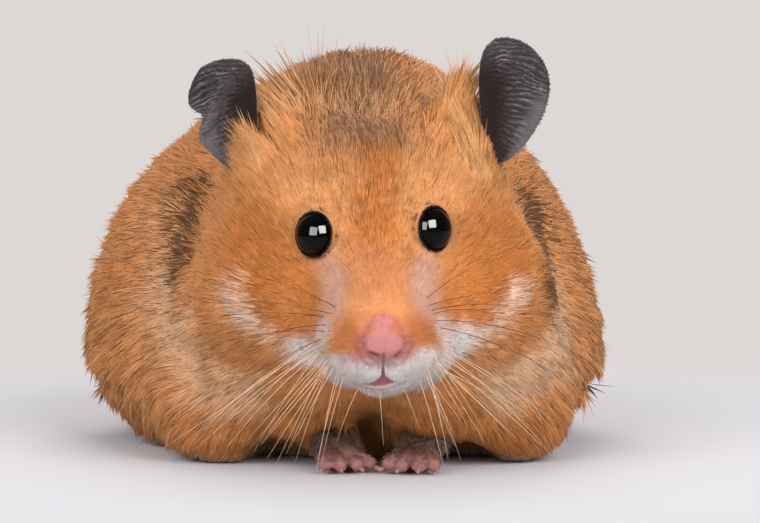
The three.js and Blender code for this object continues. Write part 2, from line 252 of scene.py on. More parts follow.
# Each mark: colour, strength, inner and outer radius in millimetres, and the path it follows.
MARKS = [
    (CHEST, 0.9, 9, 20, [(-12, -24, 8), (0, -24, 9), (11, -24, 8)]),
    # painted shade in the fold low on the left flank
    (FOLD_SHADE, 0.4, 1.5, 6, [(-37, -8, 26), (-38, -6, 20), (-38.5, -6, 14)]),
    (BAND, 0.3, 1.5, 5, [(-33, -12, 38), (-33.6, -17, 30)]),
    (BAND, 0.62, 1.8, 6.6, [(-33.6, -19, 27), (-31.5, -25, 21.5), (-28.4, -30, 16.5), (-20, -34, 11.5)]),
    (
        BAND, 0.8, 1.8, 6.6,
        [(28.6, -17, 29), (29, -21, 24), (27.4, -27, 19.6), (24, -33, 15.7), (19, -34.5, 12.6)],
    ),
    (FLASH, 1.0, 2.2, 5.6, [(-30, -15.4, 41), (-30.1, -18.4, 36), (-30.2, -21.4, 31.5)]),
    (FLASH, 1.0, 3.2, 6.6, [(25.4, -14, 39.5), (26.3, -18, 35.5), (26.8, -25, 31.5), (27, -30, 28.8)]),
    (APRICOT, 0.6, 5, 13, [(-8, -41, 44), (0, -40, 47), (7, -40, 45)]),
    (TICKED, 0.65, 1.5, 11, CROWN_LINE),
    (BRIGHT_ORANGE, 0.75, 3.5, 9, [(-18, -39, 34), (-15.5, -43, 28), (-12, -45, 24)]),
    (BRIGHT_ORANGE, 0.75, 3.5, 9, [(17, -38, 34), (15, -43, 28), (11.5, -46, 25)]),
    (
        DEEP_ORANGE, 0.6, 1.2, 4.6,
        [(-0.6, -38, 50), (-0.7, -43.8, 43.6), (-0.9, -46.3, 38.6), (-0.2, -48.5, 33)],
    ),
    (SALMON, 0.7, 2.5, 6.5, [(-0.2, -49, 31), (0.3, -51.5, 27)]),
    (PALE_PAD, 0.75, 0.8, 3.9, [(-6, -45, 32), (-6.2, -47.5, 29), (-6.6, -48.5, 25)]),
    (PALE_PAD, 0.75, 0.8, 3.9, [(5.4, -45, 32), (5.8, -47.5, 29.5), (6.6, -48.5, 25.5)]),
    (
        CREAM, 0.95, 0.7, 2.9,
        [(-21.2, -40.4, 28.2), (-19.6, -41, 24), (-17.4, -41.5, 20.8), (-14, -42.6, 18.6)],
    ),
    (CREAM, 0.95, 0.7, 2.9, [(19.8, -39.4, 29), (17.9, -40.7, 24.8), (16.2, -41.6, 22.2), (13, -43, 20.2)]),
    (
        WHITE, 0.95, 1.8, 4.9,
        [(-12, -42, 17.8), (-7, -46.5, 16.7), (0.4, -49, 15), (7.5, -46.5, 17.6), (12, -43.5, 19.3)],
    ),
    (WHITE, 0.7, 0.4, 3.0, [(-13, -43, 19), (-9, -47, 20), (-8, -48, 22.2)]),
    (WHITE, 0.65, 0.3, 2.7, [(13, -43.5, 20), (9.4, -47, 20.8), (8.6, -48, 22.6)]),
    (WHITE, 0.95, 1.9, 3.5, [(-5.6, -49.8, 16.9), (0.4, -51.5, 16.1), (6.4, -50.2, 17.6)]),
    (COPPER, 0.65, 0.9, 3.9, [(-4.8, -51, 22.2)]),
    (COPPER, 0.65, 0.9, 3.6, [(5.8, -51, 22.7)]),
    # painted shade down each side of the nose pad
    (NOSE_SIDE_SHADE, 0.8, 0.5, 1.6, [(-2.9, -52.6, 21.3), (-2.7, -52.6, 19.8)]),
    (NOSE_SIDE_SHADE, 0.8, 0.5, 1.6, [(4.1, -52.6, 21.3), (3.8, -52.6, 19.8)]),
    # painted shade under the nose pad round the top of the lips, partly the skin's own pinkish tint
    (
        MAUVE_TINT_AND_SHADE, 0.6, 0.4, 1.6,
        [(-4.6, -50.5, 19), (-3, -51.8, 18.8), (0.5, -52.6, 18.1), (3.2, -52, 18.8), (4.6, -51, 19.7)],
    ),
    (
        CORAL, 0.85, 0.9, 2.7,
        [(-1.8, -53.3, 22.4), (-0.9, -53.8, 24.1), (0.5, -53.5, 25), (2, -53.8, 24.1), (3, -53.3, 22.4)],
    ),
    (PINK, 0.9, 0.8, 1.8, [(0.6, -53.8, 22), (0.5, -53.4, 23.8)]),
    (PINK, 0.95, 1.6, 2.5, [(-0.5, -54, 20.5), (1.7, -54, 20.5)]),
]
EYE_LOOK = {"right": 38, "left": 46}  # degrees outward from straight ahead
EYE_OPENING = 70  # degrees from the middle of what shows of an eye to the edge of its lids
# the dark rim is the lids' own dark skin, with painted shade where the eye meets the fur
EYE_RIM = (0.45, 0.7)  # how far the dark rim reaches beyond the opening
PALE_RING = (0.8, 3.2)


def look_way(side):
    angle = math.radians(EYE_LOOK[side]) * SIDE[side]
    look = np.array([math.sin(angle), -math.cos(angle), 0.06])
    return look / np.linalg.norm(look)


def beyond_lid(points, side):
    """How far outside the opening of an eye's lids each place lies, in millimetres."""
    away = points - EYES[side]
    distance = np.maximum(np.linalg.norm(away, axis=1), 1e-6)
    turned = np.arccos(np.clip(away @ look_way(side) / distance, -1, 1))
    along = (turned - math.radians(EYE_OPENING)) * EYE_RADIUS
    return along + 3 * np.maximum(0, distance - EYE_RADIUS - 0.5)


BACK_BEGINS = 10
BELLY_TOP = 2.2


def mixed(base, colour, share):
    """A row for each share, drawn by it from the base towards the colour."""
    return base + (colour - base) * share[:, None]


def markings(points):
    """The coat's colour at each place, the same for the skin and for the fur on it. Some marks are painted
    shade: beside and under the nose, in a fold of the left flank and round the eyes.
    """
    wobble = points + 0.9 * noise_vector(points, 3.0, 11) + 1.4 * noise_vector(points, 8.0, 15)
    near_nose = nose_distance(points) < 12
    wobble[near_nose] = (0.7 * points + 0.3 * wobble)[near_nose]
    high = smooth_step(30, 58, wobble[:, 2]) * smooth_step(-22, BACK_BEGINS, wobble[:, 1])
    colour = mixed(ORANGE, BACK_ORANGE, 0.8 * high)
    for path_colour, strength, inner, outer, path in MARKS:
        share = strength * smooth_step(outer, inner, line_distance(wobble, path))
        colour = mixed(colour, path_colour, share)
    low = smooth_step(BELLY_TOP, 0.8, points[:, 2])
    colour = mixed(colour, BELLY, 0.75 * low)
    for side in EYES:
        beyond = beyond_lid(points, side)
        colour = mixed(colour, APRICOT, 0.5 * smooth_step(*PALE_RING[::-1], beyond))
        # dark lid rim, partly painted shade round the eyeball
        colour = mixed(colour, LID_RIM_AND_SHADE, smooth_step(*EYE_RIM[::-1], beyond))
    return colour


# ---------------- the coat's length


def coat_length(points):
    """How long the fur is at each place, in millimetres."""
    length = np.interp(nose_distance(points), COAT_FROM_NOSE, COAT_LENGTH)
    for side in EYES:
        length = length * (0.2 + 0.8 * smooth_step(0.2, 6.5, beyond_lid(points, side)))
    low = smooth_step(9, 1, points[:, 2])
    return length * (1 - 0.45 * low)


# ---------------- meshes


def mesh_arrays(mesh):
    """A mesh's vertices in millimetres from the hamster's origin, and its triangles."""
    points = np.empty(len(mesh.vertices) * 3)
    mesh.vertices.foreach_get("co", points)
    mesh.calc_loop_triangles()
    triangles = np.empty(len(mesh.loop_triangles) * 3, dtype=np.int64)
    mesh.loop_triangles.foreach_get("vertices", triangles)
    return points.reshape(-1, 3) / MM - ORIGIN, triangles.reshape(-1, 3)


def make_mesh(name, points, faces):
    mesh = bpy.data.meshes.new(name)
    mesh.from_pydata(to_metres(points).tolist(), [], faces.tolist() if hasattr(faces, "tolist") else faces)
    mesh.update()
    return mesh


def shade_smooth(mesh):
    mesh.polygons.foreach_set("use_smooth", np.ones(len(mesh.polygons), dtype=bool))


def make_triangles(name, points, triangles):
    """A mesh of many triangles, made quickly."""
    mesh = bpy.data.meshes.new(name)
    mesh.vertices.add(len(points))
    mesh.vertices.foreach_set("co", to_metres(points).ravel())
    mesh.loops.add(triangles.size)
    mesh.loops.foreach_set("vertex_index", triangles.ravel().astype(np.int32))
    mesh.polygons.add(len(triangles))
    mesh.polygons.foreach_set("loop_start", np.arange(0, triangles.size, 3, dtype=np.int32))
    mesh.update(calc_edges=True)
    shade_smooth(mesh)
    return mesh


def add_object(name, mesh):
    made = bpy.data.objects.new(name, mesh)
    bpy.context.scene.collection.objects.link(made)
    return made


def evaluated(made):
    """A new mesh: the object's own with its modifiers applied."""
    graph = bpy.context.evaluated_depsgraph_get()
    return bpy.data.meshes.new_from_object(made.evaluated_get(graph))


def vertex_normals(mesh):
    normals = np.empty(len(mesh.vertices) * 3)
    mesh.vertex_normals.foreach_get("vector", normals)
    return normals.reshape(-1, 3)


def set_points(mesh, points):
    mesh.vertices.foreach_set("co", to_metres(points).ravel())
    mesh.update()


def swollen_copy(nodes, swell):
    """The CAD solids of these nodes in one mesh, each grown a little so that they meet."""
    points, triangles, count = [], [], 0
    for node in nodes:
        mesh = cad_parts[node].data
        own_points, own_triangles = mesh_arrays(mesh)
        merged, index = np.unique(own_points.round(4), axis=0, return_inverse=True)
        own_triangles = index.ravel()[own_triangles]
        corners = merged[own_triangles]
        facing = np.cross(corners[:, 1] - corners[:, 0], corners[:, 2] - corners[:, 0])
        normals = np.zeros_like(merged)
        for corner in range(3):
            np.add.at(normals, own_triangles[:, corner], facing)
        points.append(merged + swell * unit(normals))
        triangles.append(own_triangles + count)
        count += len(merged)
    return np.concatenate(points), np.concatenate(triangles)


def tube_faces(rings, sides):
    """The triangles of a closed tube, whose points are given ring by ring."""
    faces = []
    last = (rings - 1) * sides
    for low in range(0, last, sides):
        high = low + sides
        for k in range(sides):
            after = (k + 1) % sides
            faces.append((low + k, low + after, high + after))
            faces.append((low + k, high + after, high + k))
    for k in range(1, sides - 1):
        faces.append((0, k + 1, k))
        faces.append((last, last + k, last + k + 1))
    return np.array(faces)


def ball_faces(around, rings):
    """The faces of a closed ball, whose points are its first pole, its rings and its last pole."""
    faces = []
    last_ring = 1 + (rings - 1) * around
    for k in range(around):
        after = (k + 1) % around
        faces.append((0, 1 + k, 1 + after))
        for low in range(1, last_ring, around):
            faces.append((low + k, low + around + k, low + around + after, low + after))
        faces.append((last_ring + k, last_ring + around, last_ring + after))
    return faces


FOREARM_RINGS, FOREARM_SIDES = 9, 12
FOREARM_RADII = (2.5, 4.4)  # at the wrist and at the elbow
FOREARM_SLANT = 0.35  # how far its rings lean back for each millimetre that they rise
FOREARM_ARCH = 2.2  # how far its middle is raised
WRIST_IN_HAND = np.array([0, 1.5, 0.6])
ELBOW_FROM_WRIST = (9, 13, 10.5)  # outward, back and up


def forearm_tube(side):
    """A closed tapered tube from the wrist up into the chest fur."""
    outward, back, up = ELBOW_FROM_WRIST
    wrist = middle_of("hand_" + side) + WRIST_IN_HAND
    elbow = wrist + np.array([SIDE[side] * outward, back, up])
    points = []
    for ring in range(FOREARM_RINGS):
        share = ring / (FOREARM_RINGS - 1)
        arch = np.array([0, 0, FOREARM_ARCH]) * math.sin(math.pi * share)
        centre = wrist + (elbow - wrist) * share + arch
        radius = FOREARM_RADII[0] + (FOREARM_RADII[1] - FOREARM_RADII[0]) * share
        for k in range(FOREARM_SIDES):
            angle = 2 * math.pi * k / FOREARM_SIDES
            across, high = math.cos(angle), math.sin(angle)
            points.append(centre + radius * np.array([across, FOREARM_SLANT * high, high]))
    return np.array(points), tube_faces(FOREARM_RINGS, FOREARM_SIDES)


def one_surface(name, nodes, swell, voxel, rounds, extra=None):
    """One smooth closed surface round all the solids of these nodes."""
    points, faces = swollen_copy(nodes, swell)
    if extra is not None:
        faces = np.concatenate([faces, extra[1] + len(points)])
        points = np.concatenate([points, extra[0]])
    made = add_object(name, make_mesh(name, points, faces))
    remesh = made.modifiers.new("remesh", "REMESH")
    remesh.mode = "VOXEL"
    remesh.voxel_size = voxel * MM
    smooth = made.modifiers.new("smooth", "SMOOTH")
    smooth.factor = 0.5
    smooth.iterations = rounds
    mesh = evaluated(made)
    bpy.data.objects.remove(made)
    return mesh


# ---------------- the skin of the body

# Where the skin's faces are divided, and where they are divided once more: middle and reach.
FINE_PLACES = [
    (EYES["right"], 5.2),
    (EYES["left"], 5.2),
    (NOSE + np.array([0, 3, -1.5]), 8.5),
]
FINEST_PLACES = [
    (NOSE + np.array([0, 2, -2.5]), 6.8),
    (EYES["right"], 4.6),
    (EYES["left"], 4.6),
]


def refine(mesh, places):
    """Divides the faces near the given places in four."""
    shape = bmesh.new()
    shape.from_mesh(mesh)
    edges = []
    for edge in shape.edges:
        spot = np.array((edge.verts[0].co + edge.verts[1].co) / 2) / MM - ORIGIN
        if any(np.linalg.norm(spot - centre) < reach for centre, reach in places):
            edges.append(edge)
    bmesh.ops.subdivide_edges(shape, edges=edges, cuts=1, use_grid_fill=True)
    bmesh.ops.triangulate(shape, faces=[face for face in shape.faces if len(face.verts) > 4])
    shape.to_mesh(mesh)
    shape.free()
    mesh.update()


def bump(points, centre, reach):
    """1 at a place, falling smoothly to 0 at `reach` from it."""
    away = np.linalg.norm(points - np.asarray(centre, dtype=float), axis=1)
    return smooth_step(reach, 0, away)


# Lines of the face as seen from in front, as x and z.
FACE_FRONT = -46  # they lie on what is further forward than this
PHILTRUM = [(0.5, 19.4), (0.42, 16.6)]
NOSTRILS = [[(-0.3, 19.45), (-1.4, 19.85)], [(2.1, 19.2), (2.9, 19.9)]]
NOSE_SIDES = [[(-2.4, 21), (-2.2, 20), (-1.2, 18.9)], [(3.8, 21), (3.3, 20), (2.4, 18.9)]]
NOSE_GROOVE = [(0.6, 22), (0.55, 20.6), (0.5, 19.2)]


def front_distance(points, path):
    """Distance to a line of the face, seen from in front."""
    flat = points * np.array([1, 0, 1])
    distance = line_distance(flat, [(x, 0, z) for x, z in path])
    return distance + 99 * (points[:, 1] > FACE_FRONT)


def mouth_inside(points):
    """How far inside the mouth's opening each place lies, seen from in front."""
    x, z = points[:, 0], points[:, 2]
    top = 15.1 + 1.8 * np.exp(-np.abs(x - 0.4) / 1.0) + 0.08 * x
    bottom = 14.5 + 0.07 * (x + 0.2) ** 2 + 0.07 * x
    return np.minimum(top - z, z - bottom) - 99 * (points[:, 1] > FACE_FRONT)


# Where the face is pushed out of the smooth skin or into it: how far, the middle and the reach.
FACE_BUMPS = [
    (0.55, (-2.9, -50.6, 17.5), 3.3),
    (0.55, (3.8, -50.8, 17.5), 3.3),
    (-0.45, (-2.0, -53, 23.8), 2),
    (0.25, (-1.3, -54, 20.4), 1.6),
    (-0.45, (3.2, -53, 23.8), 2),
    (0.25, (2.5, -54, 20.4), 1.6),
    (0.3, (0.6, -54.4, 19.4), 2.4),
]
CHIN_DROP = np.array([0, 0, 0.8])
CHIN, CHIN_REACH = (0.3, -49, 13.6), 5
MOUTH_DEPTH = 0.7
# Grooves of the face: how deep they are, how far they reach to each side, and their lines.
GROOVES = [
    (0.4, 0.55, [PHILTRUM]),
    (0.2, 0.5, [NOSE_GROOVE]),
    (0.5, 0.45, NOSTRILS),
    (0.3, 0.6, NOSE_SIDES),
]


def sculpted(points, normals):
    """Nose, lips and mouth, pushed out of the smooth skin or into it."""
    points = points - CHIN_DROP * bump(points, CHIN, CHIN_REACH)[:, None]
    push = np.zeros(len(points))
    for height, middle, reach in FACE_BUMPS:
        push += height * bump(points, middle, reach)
    push -= MOUTH_DEPTH * smooth_step(-0.3, 0.3, mouth_inside(points))
    for depth, reach, paths in GROOVES:
        for path in paths:
            push -= depth * smooth_step(reach, 0, front_distance(points, path))
    return points + normals * push[:, None]


LID_THICKNESS = 0.2
LID_BACK = 97  # degrees from the middle of what shows of an eye to where the lid's fold begins
UNDER_LID = 0.6  # what is nearer the middle than this goes into the ball, in radii
LID_REACH = 1.25  # and up to this it is drawn over the ball as a lid
LID_FADE = (1.05, 1.5)


def with_lids(points):
    """Draws the skin round each eyeball over it as lids, and what is in their opening into it."""
    for side, centre in EYES.items():
        look = look_way(side)
        away = points - centre
        height = away @ look
        across = away - height[:, None] * look
        reach = np.maximum(np.linalg.norm(across, axis=1), 1e-6)
        outward = across / reach[:, None]
        reach = reach / EYE_RADIUS
        share = (reach - UNDER_LID) / (LID_REACH - UNDER_LID)
        turn = np.radians(EYE_OPENING + (LID_BACK - EYE_OPENING) * np.clip(share, 0, 1))[:, None]
        lid = (EYE_RADIUS + LID_THICKNESS) * (np.cos(turn) * look + np.sin(turn) * outward)
        widened = (reach / UNDER_LID * math.sin(math.radians(EYE_OPENING)))[:, None]
        under = EYE_RADIUS * (0.2 * look + widened * outward)
        drawn = np.where(share[:, None] > 0, lid, under)
        near = smooth_step(*LID_FADE[::-1], reach) * smooth_step(1.6, 1.2, np.abs(height) / EYE_RADIUS)
        points = points + (centre + drawn - points) * near[:, None]
    return points


def body_surface():
    mesh = one_surface("body_surface", BODY_NODES, BODY_SWELL, BODY_VOXEL, BODY_ROUNDS)
    refine(mesh, FINE_PLACES)
    refine(mesh, FINEST_PLACES)
    points, _ = mesh_arrays(mesh)
    depth = BODY_SWELL + DEPTH_SHARE * coat_length(points)
    depth = depth * smooth_step(2.0, 5.5, nose_distance(points))
    points = points - vertex_normals(mesh) * depth[:, None]
    set_points(mesh, points)
    points = with_lids(points)
    set_points(mesh, points)
    points = sculpted(points, vertex_normals(mesh))
    points[:, 2] = np.maximum(points[:, 2], 0.05)
    set_points(mesh, points)
    return mesh


# ---------------- ears

EARS = {
    "left": dict(
        centre=(19.4, -26, 55.8), tall=19.4, wide=11.4, lean_out=11, face_out=22, lean_back=8,
        cup=3.0, notch=0.0, fold=0.0, crease=0.0,
    ),
    "right": dict(
        centre=(-22.5, -26, 53.2), tall=17.8, wide=12, lean_out=19, face_out=30, lean_back=8,
        cup=3.0, notch=0.4, fold=2.6, crease=0.9,
    ),
}
EAR_THICKNESS = 0.9
EAR_WIDER_AT_TOP = 0.3
EAR_FLAT_RIM = 0.35
NOTCH_HEIGHT, NOTCH_REACH = 0.12, 0.2
FOLD_HEIGHT, FOLD_MIDDLE = -0.1, 0.3
CREASE = [(0.7, -0.09, 0), (-0.2, 0.52, 0)]  # out and up: the raised fold line of the folded ear
CREASE_WIDTH = 0.08
EAR_AROUND, EAR_ALONG = 88, 44


def ear_matrix(side):
    ear = EARS[side]
    turn = (
        Matrix.Rotation(math.radians(SIDE[side] * ear["face_out"]), 3, "Z")
        @ Matrix.Rotation(math.radians(SIDE[side] * ear["lean_out"]), 3, "Y")
        @ Matrix.Rotation(math.radians(-ear["lean_back"]), 3, "X")
    )
    return np.array(turn)


def crease_share(out, up):
    places = np.stack([np.ravel(out), np.ravel(up), np.zeros(np.size(out))], axis=1)
    share = np.exp(-((line_distance(places, CREASE) / CREASE_WIDTH) ** 2))
    return share.reshape(np.shape(out))


def ear_narrowing(side, up):
    """How much narrower the notch makes the outer half of the ear, as a share of its half width."""
    return EARS[side]["notch"] * np.exp(-(((up - NOTCH_HEIGHT) / NOTCH_REACH) ** 2))


def ear_depth(side, out, up):
    """How far back the middle of the leaf's thickness lies: it is cupped and can be folded."""
    ear = EARS[side]
    cupped = -ear["cup"] * (out * out - EAR_FLAT_RIM * (out * out + up * up))
    above = np.maximum(0, up - FOLD_HEIGHT)
    folded = -ear["fold"] * above * np.maximum(0, 1 - np.abs(out - FOLD_MIDDLE))
    return cupped + folded - ear["crease"] * crease_share(out, up)


def ear_point(side, out, up, through):
    """A point of the ear: `out` and `up` from -1 to 1 over the leaf, `through` -1 front to 1 back."""
    ear = EARS[side]
    notch = ear_narrowing(side, up) * np.maximum(0, out)
    across = (out * (1 + EAR_WIDER_AT_TOP * up) - notch) * ear["wide"] / 2
    depth = ear_depth(side, out, up) + through * EAR_THICKNESS / 2
    local = np.stack([across * SIDE[side], depth, up * ear["tall"] / 2], axis=-1)
    return local @ ear_matrix(side).T + np.array(ear["centre"])


def ear_surface(side):
    """A closed leaf, as a grid of rings from the middle of its front over the edge to its back."""
    rings = []
    for step in range(1, EAR_ALONG):
        polar = math.pi * step / EAR_ALONG
        around = np.arange(EAR_AROUND) * 2 * math.pi / EAR_AROUND
        radius = math.sin(polar)
        through = -math.copysign(math.sqrt(abs(math.cos(polar))), math.cos(polar))
        rings.append(ear_point(side, radius * np.cos(around), radius * np.sin(around), through))
    first = ear_point(side, 0.0, 0.0, -1.0)[None]
    last = ear_point(side, 0.0, 0.0, 1.0)[None]
    points = np.concatenate([first, *rings, last])
    faces = ball_faces(EAR_AROUND, EAR_ALONG - 1)
    if side == "right":
        faces = [face[::-1] for face in faces]
    return make_mesh("ear_surface_" + side, points, faces)


# ---------------- skin

EAR_ROW_GAP = 0.62
LIMB_REGIONS = ["hand", "foot", "tail"]
SHELLS = {}


def make_shells():
    """The closed surfaces that the skin is made of, by name."""
    SHELLS["body"] = body_surface()
    for side in SIDE:
        SHELLS["ear_" + side] = ear_surface(side)
    for nodes in LIMB_NODES:
        name = nodes[-1]
        extra = forearm_tube(name.split("_")[1]) if shell_region(name) == "hand" else None
        SHELLS[name] = one_surface(name, nodes, LIMB_SWELL, LIMB_VOXEL, LIMB_ROUNDS, extra)


def unwrap(made):
    """Unwraps an object by the turns of its own surface."""
    bpy.context.view_layer.objects.active = made
    made.select_set(True)
    bpy.ops.object.mode_set(mode="EDIT")
    bpy.ops.mesh.select_all(action="SELECT")
    bpy.ops.uv.smart_project(angle_limit=math.radians(66), island_margin=0.002)
    bpy.ops.object.mode_set(mode="OBJECT")
    made.select_set(False)


def shell_region(name):
    return name.split("_")[0]


def joined_shells():
    """All the shells in one object, unwrapped, with the number of the shell of each triangle."""
    points, triangles, owners, count = [], [], [], 0
    for number, mesh in enumerate(SHELLS.values()):
        own_points, own_triangles = mesh_arrays(mesh)
        points.append(own_points)
        triangles.append(own_triangles + count)
        owners.append(np.full(len(own_triangles), number))
        count += len(own_points)
    made = add_object("skin", make_triangles("skin", np.concatenate(points), np.concatenate(triangles)))
    unwrap(made)
    return made, np.concatenate(owners)


def skin_colour(points, owners_of_points):
    """The bare skin's colour: as the coat's on the body but darker, as painted shade under the fur, and
    grey or pink where there is none.
    """
    names = list(SHELLS)
    # the skin under the coat is darkened as painted shade beneath the tufts
    colour = markings(points) * 0.8
    for number, name in enumerate(names):
        own = owners_of_points == number
        region = shell_region(name)
        if region == "ear":
            colour[own] = ear_colour(points[own], name)
        elif region in LIMB_REGIONS:
            colour[own] = paw_colour(points[own])
    mouth = smooth_step(-0.2, 0.15, mouth_inside(points))
    # painted shade inside the mouth's opening
    colour = mixed(colour, MAUVE_TINT_AND_SHADE * 0.7, mouth)
    colour = mixed(colour, LIP, mouth * smooth_step(2.0, 0.8, np.abs(points[:, 0] - 0.2)))
    colour = mixed(colour, LIP, 0.75 * smooth_step(0.36, 0.08, front_distance(points, PHILTRUM)))
    # the nostrils and the grooves beside the nose are painted darker, as shade in them
    for path in NOSTRILS:
        colour = mixed(colour, LIP * 0.5, 0.85 * smooth_step(0.4, 0.1, front_distance(points, path)))
    for path in NOSE_SIDES:
        colour = mixed(colour, LIP, 0.5 * smooth_step(0.6, 0.2, front_distance(points, path)))
    return colour


def ear_local(points, side):
    """out and up over the ear's leaf, each about -1 to 1, and the depth behind its middle."""
    ear = EARS[side]
    local = (points - np.array(ear["centre"])) @ ear_matrix(side)
    up = local[:, 2] / (ear["tall"] / 2)
    across = local[:, 0] * SIDE[side] / (ear["wide"] / 2)
    widened = 1 + EAR_WIDER_AT_TOP * up
    out = across / np.where(across > 0, widened - ear_narrowing(side, up), widened)
    return out, up, local[:, 1]


def ear_rows(out, up):
    """Where each place of the ear lies among the rows of hair, in rows, and how steeply they rise."""
    x, z = out * 6, up * 9.7
    arch = 0.035 * smooth_step(0, 5, z)
    fanned = z / (1 + 0.06 * (x + 5.5))
    rise = 0.06 * fanned - 2.8 * arch * (x + 2)
    return (fanned + arch * (x + 2) ** 2) / EAR_ROW_GAP, rise


def ear_hollow_shade(out, up):
    """1 in the hollow at the ear's root, painted dark as shade, 0 outside it."""
    return smooth_step(0.3, -0.45, out) * smooth_step(0.7, 0.2, up)


def ear_streaks(points, side):
    """How much silver each place of the ear's front shows, with a painted highlight along the folded ear's
    crease, and how much painted shade of the dark hollow.
    """
    out, up, _ = ear_local(points, side)
    row, _ = ear_rows(out, up)
    row = row + 0.6 * noise(points, 2.6, 71) + 0.3 * noise(points, 0.9, 72)
    streak = smooth_step(0.35, 0.9, 0.5 + 0.5 * np.sin(2 * math.pi * row))
    streak = streak * (0.6 + 0.5 * noise(points, 1.1, 73))
    plain = smooth_step(0.35, 0.8, out - 0.3 * up) * smooth_step(0.3, -0.1, up)
    streak = streak * (1 - plain) * smooth_step(-0.9, 0.0, out + 0.5 * up)
    # the pale line along the folded ear's crease is a painted highlight on its ridge
    crease = crease_share(out, up) * (EARS[side]["crease"] > 0)
    # painted shade in the hollow at the ear's root and along its lowest part
    deep = np.maximum(ear_hollow_shade(out, up), 0.9 * smooth_step(-0.45, -0.85, up) * smooth_step(0.5, 0, out))
    return np.clip(np.maximum(streak, 0.8 * crease), 0, 1), np.clip(plain, 0, 1), deep


def ear_colour(points, name):
    side = name.split("_")[1]
    streak, plain, deep = ear_streaks(points, side)
    colour = mixed(EAR_GAP, EAR_GREY, np.clip(0.4 * streak + plain, 0, 1))
    # painted shade over the hollow and the ear's lowest part
    return mixed(colour, EAR_HOLLOW_SHADE, 0.9 * deep)


def paw_colour(points):
    colour = mixed(PAW_PINK, PAW_FUR, smooth_step(1.8, 4.2, points[:, 2]))
    return mixed(colour, CHEST, smooth_step(5.5, 9.5, points[:, 2]))


# ---------------- materials

COLOUR = "colour"  # the name of the colours kept on each mesh
MATERIALS = {}


def principled(name, roughness, **sockets):
    material = bpy.data.materials.new(name)
    material.use_nodes = True
    shader = material.node_tree.nodes["Principled BSDF"]
    shader.inputs["Roughness"].default_value = roughness
    for socket, value in sockets.items():
        shader.inputs[socket.replace("_", " ")].default_value = value
    return material, shader


def add_node(tree, kind, inputs=None, **settings):
    """Adds a node with these settings, and with these values on its inputs."""
    node = tree.nodes.new("ShaderNode" + kind)
    for name, value in settings.items():
        setattr(node, name, value)
    for socket, value in (inputs or {}).items():
        node.inputs[socket].default_value = value
    return node


def link(tree, source, output, target, entry):
    tree.links.new(source.outputs[output], target.inputs[entry])


def fine_noise(tree, scale, detail=2):
    """Noise that keeps its place on the object, with about `scale` bumps to the metre."""
    texture = add_node(tree, "TexNoise", {"Scale": scale, "Detail": detail})
    link(tree, add_node(tree, "TexCoord"), "Object", texture, "Vector")
    return texture


def colour_from_mesh(tree, shader, noise_scale, low, high):
    """Feeds the shader's colour from the mesh's own colours, varied by fine noise."""
    spread = add_node(tree, "MapRange", {"To Min": low, "To Max": high})
    link(tree, fine_noise(tree, noise_scale, 3), "Fac", spread, "Value")
    scaled = add_node(tree, "VectorMath", operation="SCALE")
    link(tree, add_node(tree, "Attribute", attribute_name=COLOUR), "Color", scaled, 0)
    link(tree, spread, "Result", scaled, "Scale")
    link(tree, scaled, "Vector", shader, "Base Color")


def skin_material():
    material, shader = principled("skin", 0.55, Specular_IOR_Level=0.35)
    tree = material.node_tree
    colour_from_mesh(tree, shader, 900, 0.86, 1.14)
    pores = add_node(tree, "Bump", {"Strength": 0.5, "Distance": 0.0001})
    link(tree, fine_noise(tree, 2600, 3), "Fac", pores, "Height")
    link(tree, pores, "Normal", shader, "Normal")
    return material


def coat_material():
    material, shader = principled(
        "coat", 0.62, Specular_IOR_Level=0.2, Sheen_Weight=0.05, Sheen_Roughness=0.5
    )
    colour_from_mesh(material.node_tree, shader, 1500, 0.88, 1.12)
    return material


def speckled_material(name, roughness, specular, noise_scale, colours):
    """A material whose colour wanders between two by fine noise."""
    material, shader = principled(name, roughness, Specular_IOR_Level=specular)
    tree = material.node_tree
    ramp = add_node(tree, "ValToRGB")
    for element, colour in zip(ramp.color_ramp.elements, colours):
        element.color = (*colour, 1)
    link(tree, fine_noise(tree, noise_scale), "Fac", ramp, "Fac")
    link(tree, ramp, "Color", shader, "Base Color")
    return material


def eye_material():
    return speckled_material("wet_eye", 0.03, 0.12, 500, EYE_BLACKS)


def horn_material():
    return speckled_material("claw_horn", 0.35, 0.5, 700, HORN_PINKS)


def set_colours(mesh, colours):
    layer = mesh.color_attributes.new(COLOUR, "FLOAT_COLOR", "POINT")
    filled = np.ones((len(colours), 4))
    filled[:, :3] = colours
    layer.data.foreach_set("color", filled.ravel())


def finish_piece(made, material, slot, *replaced):
    made.data.materials.append(MATERIALS[material])
    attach(made, "root")
    if replaced:
        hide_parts(*replaced)
    return made


# ---------------- roots of the tufts


